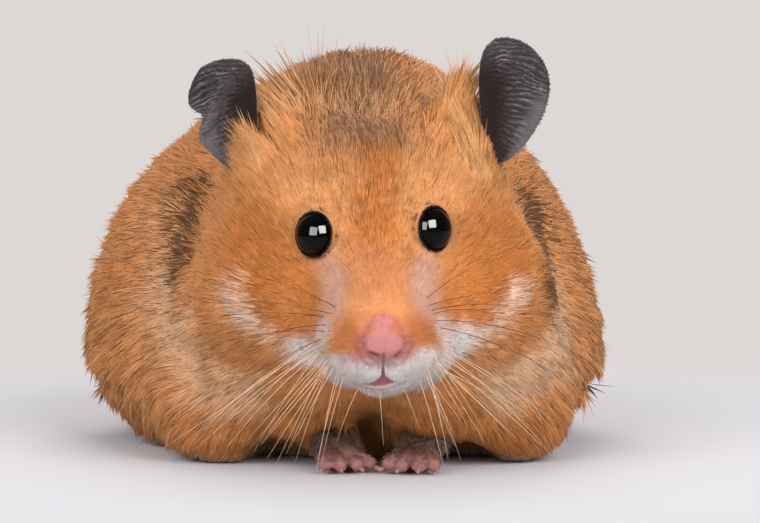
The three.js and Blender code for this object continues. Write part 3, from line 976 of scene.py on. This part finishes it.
class Shell:
    """The skin's triangles, ready to take roots."""

    def __init__(self, made, owners):
        mesh = made.data
        self.points, self.triangles = mesh_arrays(mesh)
        self.normals = vertex_normals(mesh)
        loops = np.empty(len(mesh.loop_triangles) * 3, dtype=np.int64)
        mesh.loop_triangles.foreach_get("loops", loops)
        flat = np.empty(len(mesh.loops) * 2)
        mesh.uv_layers.active.data.foreach_get("uv", flat)
        self.corner_uvs = flat.reshape(-1, 2)[loops.reshape(-1, 3)]
        self.owners = owners
        corners = self.points[self.triangles]
        self.middles = corners.mean(axis=1)
        across = np.cross(corners[:, 1] - corners[:, 0], corners[:, 2] - corners[:, 0])
        self.areas = np.linalg.norm(across, axis=1) / 2

    def scatter(self, density, rng):
        """Random roots, `density` to the square millimetre on each triangle."""
        wanted = self.areas * density
        totals = np.cumsum(wanted)
        picks = np.searchsorted(totals, rng.random(int(totals[-1])) * totals[-1])
        picks = np.minimum(picks, len(totals) - 1)
        first = np.sqrt(rng.random(len(picks)))
        second = rng.random(len(picks))
        shares = np.stack([1 - first, first * (1 - second), first * second], axis=1)
        corners = self.triangles[picks]
        spots = (self.points[corners] * shares[..., None]).sum(axis=1)
        normals = unit((self.normals[corners] * shares[..., None]).sum(axis=1))
        maps = (self.corner_uvs[picks] * shares[..., None]).sum(axis=1)
        return spots, normals, maps, self.owners[picks]


# ---------------- the lie of the coat

TAILWARD = np.array([0.0, 1.0, -0.25])
HEAD_REACH = (30, 58)
DROOP = 0.45


def flow(points, normals):
    """The way the fur points at each place: back from the nose on the head, tailward on the body."""
    from_nose = unit(points - NOSE)
    share = smooth_step(*HEAD_REACH, nose_distance(points))
    way = from_nose * (1 - share)[:, None] + TAILWARD * share[:, None]
    side = np.abs(normals[:, 0]) * smooth_step(40, 10, points[:, 2])
    way[:, 2] -= DROOP * side + 0.5 * smooth_step(14, 3, points[:, 2])
    way = way + 0.16 * noise_vector(points, 7.0, 41) + 0.12 * noise_vector(points, 2.2, 51)
    for side, centre in EYES.items():
        close = smooth_step(2.5, 0.4, beyond_lid(points, side))
        way = mixed(way, unit(points - centre), 0.8 * close)
    return unit(flattened(way, normals))


# ---------------- tufts

# A tuft is a thin closed blade of four triangles: its root, two edge points part of the way along
# it, and its tip.
WIDEST_AT = 0.42
BLADE_FACES = np.array([(0, 1, 2), (1, 3, 2), (0, 3, 1), (0, 2, 3)])
CROWN = 0.3  # how far a blade's edges are raised over its keel, as a share of its width
BURIED = 0.25  # how deep a tuft starts under the skin
SKIN_SHARE = 0.86  # how far a tuft's shading follows the skin's, so that the coat looks soft
ROUNDNESS = 0.45
PATCH = 0.003
FLOOR_GAP = 0.04


def tuft_mesh(name, tufts):
    """All the tufts of one piece. tufts holds arrays: root, normal, way, length, width, lift, bend,
    colour, tip_colour, uv, pull."""
    count = len(tufts["root"])
    way, normal = tufts["way"], tufts["normal"]
    start_lift, end_lift = tufts["lift"], tufts["lift"] - tufts["bend"]
    start = np.cos(start_lift)[:, None] * way + np.sin(start_lift)[:, None] * normal
    end = np.cos(end_lift)[:, None] * way + np.sin(end_lift)[:, None] * normal
    length = tufts["length"][:, None]

    def along(share):
        straight = length * (start * (share - share * share / 2) + end * share * share / 2)
        return tufts["root"] + straight + tufts["pull"] * share**1.5

    side = unit(np.cross(way, normal))
    over = unit(np.cross(side, start))
    half = tufts["width"][:, None] / 2
    middle = along(WIDEST_AT) + over * half * CROWN * 2
    corners = [tufts["root"] - BURIED * normal, middle + side * half, middle - side * half, along(1.0)]
    points = np.stack(corners, axis=1).reshape(-1, 3)
    points[:, 2] = np.maximum(points[:, 2], FLOOR_GAP)
    triangles = (BLADE_FACES[None] + (np.arange(count) * 4)[:, None, None]).reshape(-1, 3)
    mesh = make_triangles(name, points, triangles)
    upward = SKIN_SHARE * normal + (1 - SKIN_SHARE) * over
    shading = np.stack([upward, upward + ROUNDNESS * side, upward - ROUNDNESS * side, upward], axis=1)
    mesh.normals_split_custom_set_from_vertices(unit(shading.reshape(-1, 3)).tolist())
    shares = np.array([0, WIDEST_AT, WIDEST_AT, 1])
    tone = np.clip(shares * 1.5, 0, 1)[None, :, None]
    colours = tufts["colour"][:, None] * (1 - tone) + tufts["tip_colour"][:, None] * tone
    set_colours(mesh, colours.reshape(-1, 3))
    spread = np.stack([np.array([0, 0.4, -0.4, 0]), shares - 0.5], axis=1) * PATCH
    corner_maps = (tufts["uv"][:, None] + spread[None]).reshape(-1, 2)[triangles.ravel()]
    layer = mesh.uv_layers.new(name="OFBake")
    layer.data.foreach_set("uv", corner_maps.ravel())
    return mesh


# ---------------- the coat

MOST_TRIANGLES = 190000
CREATED = {"triangles": 0}


def add_coat(name, tufts, material, slot):
    """Adds the tufts as pieces of less than the most triangles each."""
    most = MOST_TRIANGLES // len(BLADE_FACES)
    total = len(tufts["root"])
    parts = max(1, math.ceil(total / most))
    for part in range(parts):
        chosen = {key: value[part::parts] for key, value in tufts.items()}
        label = f"{name}_{part + 1}"
        finish_piece(add_object(label, tuft_mesh(label, chosen)), material, slot)
        CREATED["triangles"] += len(chosen["root"]) * len(BLADE_FACES)
    print("coat", name, total, "tufts in", parts, "pieces")


COVER = 7.5  # how many tufts lie over each other


def tuft_width(length):
    return 0.054 + 0.012 * length


# Longer hair that stands up in front of the ears and between them: path, reach round it, the way
# that it leans, how much longer it is, and by how many degrees it stands up.
FRINGES = [
    dict(
        path=[(-17, -32, 44), (-16.5, -31, 49), (-15.5, -29, 53)],
        reach=4.5, way=(-0.6, -0.08, 0.75), longer=0.45, lift=16,
    ),
    dict(
        path=[(-15.5, -30.5, 50), (-14.5, -29.5, 54)],
        reach=2.4, way=(-0.45, -0.14, 0.86), longer=0.25, lift=10,
    ),
    dict(
        path=[(-14, -22, 53), (-11, -20, 55)],
        reach=4.5, way=(-0.2, 0.1, 1), longer=0.8, lift=20,
    ),
    dict(
        path=[(14, -32, 43), (13.5, -31, 49)],
        reach=4.2, way=(-0.45, 0.1, 0.9), longer=0.05, lift=5,
    ),
    dict(
        path=[(11, -29, 54), (10.5, -26, 58)],
        reach=4.2, way=(0.16, 0.1, 1), longer=0.6, lift=16,
    ),
    dict(
        path=[(-7, -20, 57), (4, -20, 58), (11, -22, 58)],
        reach=6.5, way=(0, 0.25, 0.95), longer=0.4, lift=18,
    ),
    dict(
        path=[(-9, -44, 15), (-4, -47.5, 13), (0.3, -48.5, 12.6), (4.5, -47.5, 13.4), (9, -44.5, 16)],
        reach=2.6, way=(0, 0.25, -0.95), longer=0.4, lift=6,
    ),
]
# How much denser, narrower, more uneven in length and more blond the tufts of a fringe are.
FRINGE_DENSER, FRINGE_NARROWER, FRINGE_VARIES, FRINGE_BLOND = 0.9, 0.35, 0.4, 0.45
DARK_SHARE, TICKED_DARK_SHARE = 0.03, 0.28  # the share of dark tufts, and what the crown adds
DARK_TONE, DARK_LONGER = 0.45, 0.2
LIGHT_SHARE, LIGHT_BLOND = 0.05, 0.3
STRAY_ALONG, STRAY_ASIDE = 0.35, 0.12  # how far off a tuft's colour is taken, in lengths
TUCKED_SHORTER = 0.22  # how much shorter the fur is where the body turns in
LIFT, LONG_LIFT_LESS, LIFT_SPREAD = 10, 1.4, 2  # degrees
LEAST_LIFT, MOST_LIFT, BEND = 4, 60, 10.0  # degrees
GATHER = 0.4  # how far the tips of a lock are drawn together
WAY_SPREAD = 0.1
ROOT_TONE, TIP_TONE, LIGHTEST = 0.9, 1.06, 0.95


def fringe_share(fringe, points):
    reach = fringe["reach"]
    return smooth_step(reach, 0.4 * reach, line_distance(points, fringe["path"]))


def tucked_share(points):
    """1 low on the flanks and the rump, where the body turns in under itself."""
    return smooth_step(19, 9, points[:, 2]) * smooth_step(-28, -16, points[:, 1])


def toned(colour, spots, number, rng):
    """The tufts' colours, each lighter or darker than its neighbours', and which of them are dark."""
    count = len(spots)
    ticked = smooth_step(12, 3, line_distance(spots, CROWN_LINE))
    off_muzzle = smooth_step(9, 18, nose_distance(spots))
    dark = rng.random(count) < off_muzzle * (DARK_SHARE + TICKED_DARK_SHARE * ticked)
    mottled = 1 + 0.07 * noise(spots, 6.0, 95) + 0.06 * noise(spots, 2.2, 97)
    tone = (0.93 + 0.14 * rng.random(count)) * (0.94 + 0.12 * number) * mottled
    tone = np.where(dark, tone * DARK_TONE, tone)[:, None]
    light = (rng.random(count) < LIGHT_SHARE) & ~dark
    return mixed(colour, BLOND, LIGHT_BLOND * light * off_muzzle) * tone, dark


def coat_tufts(spots, normals, maps, rng, lock_size):
    """Tufts over the body, leaning with the coat and gathered into small locks."""
    length = coat_length(spots)
    width = tuft_width(length)
    length = length * (1 - TUCKED_SHORTER * tucked_share(spots))
    way = flow(spots, normals)
    count = len(spots)
    middle, number = nearest_lock(spots, lock_size, 61)
    gather = flattened((middle - spots) * (GATHER * smooth_step(1.0, 3.0, length))[:, None], normals)
    length = length * (0.8 + 0.4 * rng.random(count)) * (0.9 + 0.2 * number)
    lift = LIFT - LONG_LIFT_LESS * smooth_step(3, 6.5, length)
    lift = lift + LIFT_SPREAD * rng.normal(size=count) + LIFT_SPREAD * (number - 0.5)
    along = length * (0.3 + STRAY_ALONG * rng.normal(size=count))
    stray = STRAY_ASIDE * length[:, None] * rng.normal(size=(count, 3))
    colour = markings(spots + way * along[:, None] + stray)
    for fringe in FRINGES:
        share = fringe_share(fringe, spots)
        width = width * (1 - FRINGE_NARROWER * share)
        length = length * (1 + FRINGE_VARIES * share * (rng.random(count) - 0.5))
        way = mixed(way, np.array(fringe["way"]), 0.8 * share)
        length = length * (1 + fringe["longer"] * share)
        lift = lift + fringe["lift"] * share
        colour = mixed(colour, BLOND, FRINGE_BLOND * share * rng.random(count))
    way = unit(way + WAY_SPREAD * rng.normal(size=(count, 3)))
    way = unit(flattened(way, normals))
    colour, dark = toned(colour, spots, number, rng)
    return dict(
        root=spots, normal=normals, way=way, length=length * (1 + DARK_LONGER * dark),
        width=width, lift=np.radians(np.clip(lift, LEAST_LIFT, MOST_LIFT)),
        bend=np.radians(np.full(count, BEND)), colour=colour * ROOT_TONE,
        tip_colour=np.clip(colour * TIP_TONE, 0, LIGHTEST), uv=maps, pull=gather,
    )


def crosses_ear(tufts):
    """Which of the tufts would pass through the leaf of an ear."""
    crossing = np.zeros(len(tufts["root"]), dtype=bool)
    lift = tufts["lift"][:, None]
    reach = (np.cos(lift) * tufts["way"] + np.sin(lift) * tufts["normal"]) * tufts["length"][:, None]
    for side in SIDE:
        before = None
        for share in np.linspace(0, 1, 5):
            out, up, back = ear_local(tufts["root"] + reach * share, side)
            on_leaf = np.hypot(out, up) < 1.05
            behind = back > ear_depth(side, out, up)
            if before is not None:
                crossing |= (behind != before) & on_leaf
            before = behind
    return crossing


def body_density(middles):
    """How many tufts grow on each square millimetre of the body."""
    length = coat_length(middles)
    more = sum(fringe_share(fringe, middles) for fringe in FRINGES)
    return COVER * (1 + FRINGE_DENSER * np.minimum(more, 1)) / (length * tuft_width(length))


BARE_NOSE = (0.6, -53.8, 21)


def bare_share(points):
    """1 where no tufts grow: on the nose pad and the lips, and beside the eyeballs."""
    bare = smooth_step(3.2, 2.6, np.linalg.norm(points - np.array(BARE_NOSE), axis=1))
    bare = np.maximum(bare, smooth_step(-0.4, -0.1, mouth_inside(points)))
    bare = np.maximum(bare, smooth_step(0.25, 0.15, front_distance(points, PHILTRUM)))
    for side in EYES:
        bare = np.maximum(bare, beyond_lid(points, side) < 0.35)
    return bare


FACE_REACH = 34
FACE_LOCK, BODY_LOCK = 1.6, 2.6  # how wide the locks of fur are
LOWEST_ROOT = 0.3
BODY_SEED, EAR_SEED, LIMB_SEED, WHISKER_SEED = 20, 30, 40, 60


def keep(values, chosen):
    return [value[chosen] for value in values]


def grow_body_coat(shell):
    rng = np.random.default_rng(BODY_SEED)
    density = body_density(shell.middles) * (shell.owners == 0)
    roots = shell.scatter(density, rng)[:3]
    spots = roots[0]
    roots = keep(roots, (rng.random(len(spots)) > bare_share(spots)) & (spots[:, 2] > LOWEST_ROOT))
    near = nose_distance(roots[0]) < FACE_REACH
    for name, own, lock_size in (("coat_face", near, FACE_LOCK), ("coat_body", ~near, BODY_LOCK)):
        tufts = coat_tufts(*keep(roots, own), rng, lock_size)
        clear = ~crosses_ear(tufts)
        tufts = {key: value[clear] for key, value in tufts.items()}
        add_coat(name, tufts, "coat", "coat")


def shell_roots(shell, regions, seed, density, inside_body):
    """For each shell of these regions: its name, its random draws and its roots outside the body."""
    for number, name in enumerate(SHELLS):
        if shell_region(name) in regions:
            rng = np.random.default_rng(seed + number)
            drawn = shell.scatter((shell.owners == number) * density, rng)[:3]
            yield name, rng, keep(drawn, ~inside_body(drawn[0]))


SHORT_WIDTH = 0.1


def short_tufts(roots, way, length, lift, bend, colour):
    """Short fine hairs. Lift and bend are in degrees."""
    spots, normals, maps = roots
    count = len(spots)
    return dict(
        root=spots, normal=normals, way=unit(flattened(way, normals)), length=length,
        width=np.full(count, SHORT_WIDTH), lift=np.radians(lift),
        bend=np.radians(np.full(count, bend)), colour=colour * 0.85, tip_colour=colour * 1.1,
        uv=maps, pull=np.zeros((count, 3)),
    )


EAR_DENSITY = 20
EAR_RIM = 0.86


def grow_ear_hair(shell, inside_body):
    """Fine short hair on both faces of the ears, silvery and in curved rows over the front."""
    for name, rng, roots in shell_roots(shell, ["ear"], EAR_SEED, EAR_DENSITY, inside_body):
        side = name.split("_")[1]
        spots, normals, _ = roots
        count = len(spots)
        turn = ear_matrix(side)
        outward = SIDE[side] * turn[:, 0]
        upward = turn[:, 2]
        facing = smooth_step(0.1, 0.5, -(normals @ turn[:, 1]))
        out, up, _ = ear_local(spots, side)
        rim = smooth_step(EAR_RIM - 0.1, EAR_RIM + 0.06, np.hypot(out, up))
        _, rise = ear_rows(out, up)
        along_row = outward[None] + upward[None] * rise[:, None]
        from_root = upward[None] + 0.4 * outward[None] * out[:, None]
        way = along_row * facing[:, None] + from_root * (1 - facing)[:, None]
        way = unit(way + 0.09 * rng.normal(size=(count, 3)))
        streak, plain, deep = ear_streaks(spots, side)
        # streak holds the painted highlight of the crease as well as the silver rows
        silver = facing * streak * (0.2 + 0.6 * rng.random(count)) + 0.3 * (1 - facing)
        base = mixed(EAR_GAP, EAR_GREY, np.maximum(plain, 1 - facing))
        # the hair in the hollow takes the same painted shade
        colour = mixed(mixed(base, EAR_SILVER, silver), EAR_HOLLOW_SHADE, 0.85 * facing * deep)
        length = (0.4 + 1.1 * facing * (1 - rim)) * (0.8 + 0.4 * rng.random(count))
        tufts = short_tufts(roots, way, length, 6 + 4 * rng.random(count), 8.0, colour)
        add_coat("coat_" + name, tufts, "coat", "ear_skin")


LIMB_DENSITY = 16
FURRY_FROM = 1.6  # the height above the floor where the paws' fur begins
DOWN_LIMB = np.array([0, -0.6, -1.0])
ALONG_TAIL = np.array([0, 0.9, 0.2])


def grow_limb_fur(shell, inside_body):
    """Short fur down the forearms and on the backs of the paws, and on the tail."""
    for name, rng, roots in shell_roots(shell, LIMB_REGIONS, LIMB_SEED, LIMB_DENSITY, inside_body):
        tail = shell_region(name) == "tail"
        share = np.ones(len(roots[0])) if tail else smooth_step(FURRY_FROM, 4.2, roots[0][:, 2])
        roots = keep(roots, rng.random(len(share)) < share)
        spots = roots[0]
        count = len(spots)
        down = ALONG_TAIL if tail else DOWN_LIMB
        way = unit(down + 0.16 * rng.normal(size=(count, 3)))
        length = (0.7 + 0.22 * np.clip(spots[:, 2], 0, 6)) * (0.8 + 0.4 * rng.random(count))
        colour = paw_colour(spots) * (0.85 + 0.3 * rng.random(count))[:, None]
        tufts = short_tufts(roots, way, length, 16 + 6 * rng.random(count), 12.0, colour)
        add_coat("coat_" + name, tufts, "coat", "pink_skin")


# ---------------- whiskers

# The dark whiskers, each from its root to its tip as seen from in front: x and z.
DARK_WHISKERS = [
    ((-6, 25.7), (-19, 31)), ((-8.8, 24.6), (-27.7, 23.7)), ((-7.7, 23.4), (-28.5, 17.1)),
    ((-9.8, 21.3), (-35.8, 5.4)), ((-7, 24.9), (-22, 27)), ((-8, 22.4), (-26, 20.5)),
    ((6.6, 27), (16.1, 33.1)), ((6.6, 26), (17.5, 28.5)), ((7.4, 24.8), (19.5, 23.5)),
    ((9, 23.1), (32.1, 12)), ((8, 24), (27, 20)), ((7.2, 25.4), (21, 26)),
]
# The fans of pale whiskers: roots and tips of the first and the last one, and how many.
PALE_FANS = [
    dict(roots=((-11.5, 20.5), (-6, 16.5)), tips=((-33, 5), (-9, 1.5)), count=22),
    dict(roots=((8.8, 19.8), (5, 16.8)), tips=((28, 7.6), (8.8, 3.2)), count=20),
    dict(roots=((-3, 13.2), (3.5, 13.2)), tips=((-5, 5), (5.5, 5.5)), count=3),
]
WHISKER_FRONT = -50  # how far forward the tips reach
WHISKER_RADIUS = 0.052
WHISKER_SIDES, WHISKER_RINGS = 4, 12
WHISKER_DARK = srgb(78, 50, 38)
WHISKER_PALE = srgb(222, 192, 164)


def whisker_list(rng):
    """Every whisker's root and tip, as x and z, with its colour."""
    whiskers = [(np.array(root), np.array(tip), WHISKER_DARK) for root, tip in DARK_WHISKERS]
    for fan in PALE_FANS:
        (high_root, low_root), (high_tip, low_tip) = np.array(fan["roots"]), np.array(fan["tips"])
        for number in range(fan["count"]):
            share = (number + 0.6 * (rng.random() - 0.5)) / (fan["count"] - 1)
            root = high_root + (low_root - high_root) * share + 0.7 * rng.normal(size=2)
            tip = high_tip + (low_tip - high_tip) * share + 1.3 * rng.normal(size=2)
            tip = root + (tip - root) * (0.7 + 0.35 * rng.random())
            whiskers.append((root, tip, WHISKER_PALE))
    return whiskers


def add_whiskers(tree):
    rng = np.random.default_rng(WHISKER_SEED)
    points, faces, colours, count = [], [], [], 0
    for root, tip, shade in whisker_list(rng):
        spot, normal, _, _ = tree.find_nearest(Vector((root[0], -48, root[1])))
        start = np.array(spot) - 0.3 * np.array(normal)
        end = np.array([tip[0], WHISKER_FRONT + 2 * rng.normal(), max(tip[1], 0.3)])
        way = end - start
        raised = np.array([0, -0.1, 0.045 + 0.03 * rng.normal()]) * np.linalg.norm(way)
        across = unit(np.cross(way, [0, 1, 0.2])[None])[0]
        over = unit(np.cross(across, way)[None])[0]
        for ring in range(WHISKER_RINGS):
            share = ring / (WHISKER_RINGS - 1)
            centre = start + way * share + raised * 4 * share * (1 - share)
            centre[2] = max(centre[2], 0.15)
            radius = WHISKER_RADIUS * (1 - 0.75 * share)
            for k in range(WHISKER_SIDES):
                turn = 2 * math.pi * k / WHISKER_SIDES
                points.append(centre + radius * (across * math.cos(turn) + over * math.sin(turn)))
                colours.append(shade)
        faces.append(tube_faces(WHISKER_RINGS, WHISKER_SIDES) + count)
        count += WHISKER_RINGS * WHISKER_SIDES
    mesh = make_triangles("whiskers", np.array(points), np.concatenate(faces))
    set_colours(mesh, np.array(colours))
    finish_piece(add_object("whiskers", mesh), "coat", "coat")


# ---------------- eyes

EYE_FLATNESS = 0.9  # the eyeball's depth along the way it looks, as a share of its width
EYE_GAP = 0.02  # how far the eyeball stays inside the CAD one
EYE_AROUND, EYE_ALONG = 64, 40


def ball_points(around, along):
    """The points of a ball of radius 1: its top, its rings from above to below, and its bottom."""
    polar = np.linspace(0, math.pi, along + 1)[1:-1]
    turn = np.arange(around) * 2 * math.pi / around
    rings = np.stack([
        np.outer(np.sin(polar), np.cos(turn)),
        np.outer(np.sin(polar), np.sin(turn)),
        np.outer(np.cos(polar), np.ones(around)),
    ], axis=-1).reshape(-1, 3)
    return np.concatenate([[[0, 0, 1]], rings, [[0, 0, -1]]])


def add_eyes():
    """The eyeballs. Gives back a collection of them, for the lamps that only they mirror."""
    eyeballs = bpy.data.collections.new("eyeballs")
    for side, centre in EYES.items():
        look = look_way(side)
        ball = ball_points(EYE_AROUND, EYE_ALONG) * (EYE_RADIUS - EYE_GAP)
        ball = ball - np.outer(ball @ look, look) * (1 - EYE_FLATNESS)
        mesh = make_mesh("eyeball_" + side, ball + centre, ball_faces(EYE_AROUND, EYE_ALONG - 1))
        shade_smooth(mesh)
        made = add_object("eyeball_" + side, mesh)
        finish_piece(made, "eye", "eye", "eye_" + side)
        eyeballs.objects.link(made)
    return eyeballs


# ---------------- claws

CLAWS = {"hand_right": 4, "hand_left": 4, "foot_right": 5, "foot_left": 5}
CLAW_SWELL = 0.04


def add_claws():
    for paw, count in CLAWS.items():
        names = [f"claw_{paw}_{number + 1}" for number in range(count)]
        made = add_object("claws_" + paw, make_mesh("claws_" + paw, *swollen_copy(names, CLAW_SWELL)))
        rounder = made.modifiers.new("rounder", "SUBSURF")
        rounder.levels = rounder.render_levels = 2
        mesh = evaluated(made)
        shade_smooth(mesh)
        bpy.data.objects.remove(made)
        made = add_object("claws_" + paw, mesh)
        finish_piece(made, "claw", "claw", *names)


# ---------------- camera, light and floor

CAMERA_TARGET = (0, -45, 32.4)
CAMERA_DISTANCE = 480
CAMERA_ELEVATION = 4  # degrees
CAMERA_LENS = 154.7
BACKDROP = srgb(221, 216, 214)
FLOOR_WHITE = srgb(206, 207, 213)
SOFT_BOXES = [
    dict(name="key_left", azimuth=-36, elevation=30, power=5.1),
    dict(name="key_right", azimuth=36, elevation=30, power=6.8),
    dict(name="fill_behind", azimuth=180, elevation=50, power=2.2),
]
CATCH_LIGHTS = [
    dict(name="catch_left", azimuth=-31, elevation=19, power=46),
    dict(name="catch_right", azimuth=21, elevation=29, power=90),
]
BOX_TARGET = (0, -30, 32)
BOX_DISTANCE = 900
BOX_SIZE = 620
LAMP_WHITE = (1.0, 0.99, 0.98)


def aim(made, target, azimuth, elevation, distance):
    """Puts a camera or a lamp at a distance from its target, turned towards it."""
    azimuth, elevation = math.radians(azimuth), math.radians(elevation)
    back = Vector((
        math.sin(azimuth) * math.cos(elevation),
        -math.cos(azimuth) * math.cos(elevation),
        math.sin(elevation),
    ))
    made.location = Vector(to_metres(target)) + back * distance * MM
    made.rotation_mode = "QUATERNION"
    made.rotation_quaternion = (-back).to_track_quat("-Z", "Y")


def add_camera():
    camera = add_object("camera", bpy.data.cameras.new("camera"))
    camera.data.lens = CAMERA_LENS
    camera.data.sensor_width = 36
    camera.data.clip_start = 0.01
    aim(camera, CAMERA_TARGET, 0, CAMERA_ELEVATION, CAMERA_DISTANCE)
    bpy.context.scene.camera = camera


def add_soft_box(box, receivers=None):
    """A square lamp. One with receivers is only mirrored, and by those pieces alone."""
    light = bpy.data.lights.new(box["name"], "AREA")
    light.shape = "SQUARE"
    light.size = BOX_SIZE * MM
    light.energy = box["power"]
    light.color = LAMP_WHITE
    made = add_object(box["name"], light)
    if receivers is None:
        made.visible_glossy = False
    else:
        made.light_linking.receiver_collection = receivers
        made.visible_diffuse = False
    aim(made, BOX_TARGET, box["azimuth"], box["elevation"], BOX_DISTANCE)


GLOSS_DIMMING = 0.75  # how much less of the soft light is mirrored
FILL_IN_FRONT, FILL_BEHIND = 0.3, 1.25


def set_world():
    """A pale backdrop where the camera looks past the hamster, and soft light, most of it from behind."""
    world = bpy.data.worlds.new("studio")
    bpy.context.scene.world = world
    world.use_nodes = True
    tree = world.node_tree
    tree.nodes.clear()
    pale = add_node(tree, "Background", {"Color": (*BACKDROP, 1)})
    fill = add_node(tree, "Background", {"Color": (*BACKDROP, 1)})
    parts = add_node(tree, "SeparateXYZ")
    link(tree, add_node(tree, "TexCoord"), "Generated", parts, "Vector")
    ramp = add_node(tree, "MapRange", {
        "From Min": -1, "From Max": 1, "To Min": FILL_IN_FRONT, "To Max": FILL_BEHIND,
    })
    link(tree, parts, "Y", ramp, "Value")
    seen = add_node(tree, "LightPath")
    dimmed = add_node(tree, "Math", {1: -GLOSS_DIMMING, 2: 1.0}, operation="MULTIPLY_ADD")
    link(tree, seen, "Is Glossy Ray", dimmed, 0)
    strength = add_node(tree, "Math", operation="MULTIPLY")
    link(tree, ramp, "Result", strength, 0)
    link(tree, dimmed, "Value", strength, 1)
    link(tree, strength, "Value", fill, "Strength")
    chosen = add_node(tree, "MixShader")
    link(tree, seen, "Is Camera Ray", chosen, "Fac")
    link(tree, fill, "Background", chosen, 1)
    link(tree, pale, "Background", chosen, 2)
    link(tree, chosen, "Shader", add_node(tree, "OutputWorld"), "Surface")


FLOOR_RADIUS = 340
FLOOR_EDGES = 96
FLOOR_FADE = (60, 170)
FLOOR_SUNK = 0.02  # keeps the floor just under the part


def floor_material():
    """Matte near the hamster, and fading into the backdrop further out."""
    material = bpy.data.materials.new("floor")
    material.use_nodes = True
    tree = material.node_tree
    tree.nodes.clear()
    matte = add_node(tree, "BsdfDiffuse", {"Color": (*FLOOR_WHITE, 1)})
    glow = add_node(tree, "Emission", {"Color": (*BACKDROP, 1)})
    distance = add_node(tree, "VectorMath", operation="LENGTH")
    link(tree, add_node(tree, "TexCoord"), "Object", distance, 0)
    fade = add_node(
        tree, "MapRange", {"From Min": FLOOR_FADE[0] * MM, "From Max": FLOOR_FADE[1] * MM},
        interpolation_type="SMOOTHSTEP",
    )
    link(tree, distance, "Value", fade, "Value")
    blend = add_node(tree, "MixShader")
    link(tree, fade, "Result", blend, "Fac")
    link(tree, matte, "BSDF", blend, 1)
    link(tree, glow, "Emission", blend, 2)
    link(tree, blend, "Shader", add_node(tree, "OutputMaterial"), "Surface")
    return material


def add_floor():
    angles = np.arange(FLOOR_EDGES) * 2 * math.pi / FLOOR_EDGES
    edge = np.stack([np.cos(angles), np.sin(angles), np.zeros(FLOOR_EDGES)], axis=1) * FLOOR_RADIUS
    mesh = make_mesh("floor", edge, [tuple(range(FLOOR_EDGES))])
    mesh.materials.append(floor_material())
    floor = add_object("floor", mesh)
    floor.location.z = -FLOOR_SUNK * MM
    floor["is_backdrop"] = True


# ---------------- the whole scene

HIDDEN_BELOW = 0.15  # short hair isn't grown lower than this over the body's skin


def make_skin():
    """Makes the skin in one piece, and gives back where the tufts can take root in it."""
    make_shells()
    skin, owners = joined_shells()
    points, triangles = mesh_arrays(skin.data)
    point_owner = np.zeros(len(points), dtype=np.int64)
    point_owner[triangles.ravel()] = np.repeat(owners, 3)
    set_colours(skin.data, skin_colour(points, point_owner))
    replaced = BODY_NODES + EAR_NODES + [node for nodes in LIMB_NODES for node in nodes]
    finish_piece(skin, "skin", "pink_skin", *replaced)
    print("skin triangles", len(triangles))
    return Shell(skin, owners)


def main():
    bpy.context.scene.view_settings.view_transform = "Standard"
    add_camera()
    for box in SOFT_BOXES:
        add_soft_box(box)
    set_world()
    add_floor()
    MATERIALS.update(
        skin=skin_material(), coat=coat_material(), eye=eye_material(), claw=horn_material()
    )
    shell = make_skin()
    eyeballs = add_eyes()
    for box in CATCH_LIGHTS:
        add_soft_box(box, eyeballs)
    add_claws()
    body_points, body_triangles = mesh_arrays(SHELLS["body"])
    tree = BVHTree.FromPolygons(body_points.tolist(), body_triangles.tolist())

    def inside_body(spots):
        """Which of the spots lie inside the body's skin, or close over it."""
        heights = []
        for spot in spots:
            place, normal, _, _ = tree.find_nearest(Vector(spot))
            heights.append((Vector(spot) - place).dot(normal))
        return np.array(heights) < HIDDEN_BELOW

    grow_body_coat(shell)
    grow_ear_hair(shell, inside_body)
    grow_limb_fur(shell, inside_body)
    add_whiskers(tree)
    print("coat triangles", CREATED["triangles"])


main()

boxes = {"cad": CAD_BOX, "visual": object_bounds()}
{name: [list(corner) for corner in box] for name, box in boxes.items()}
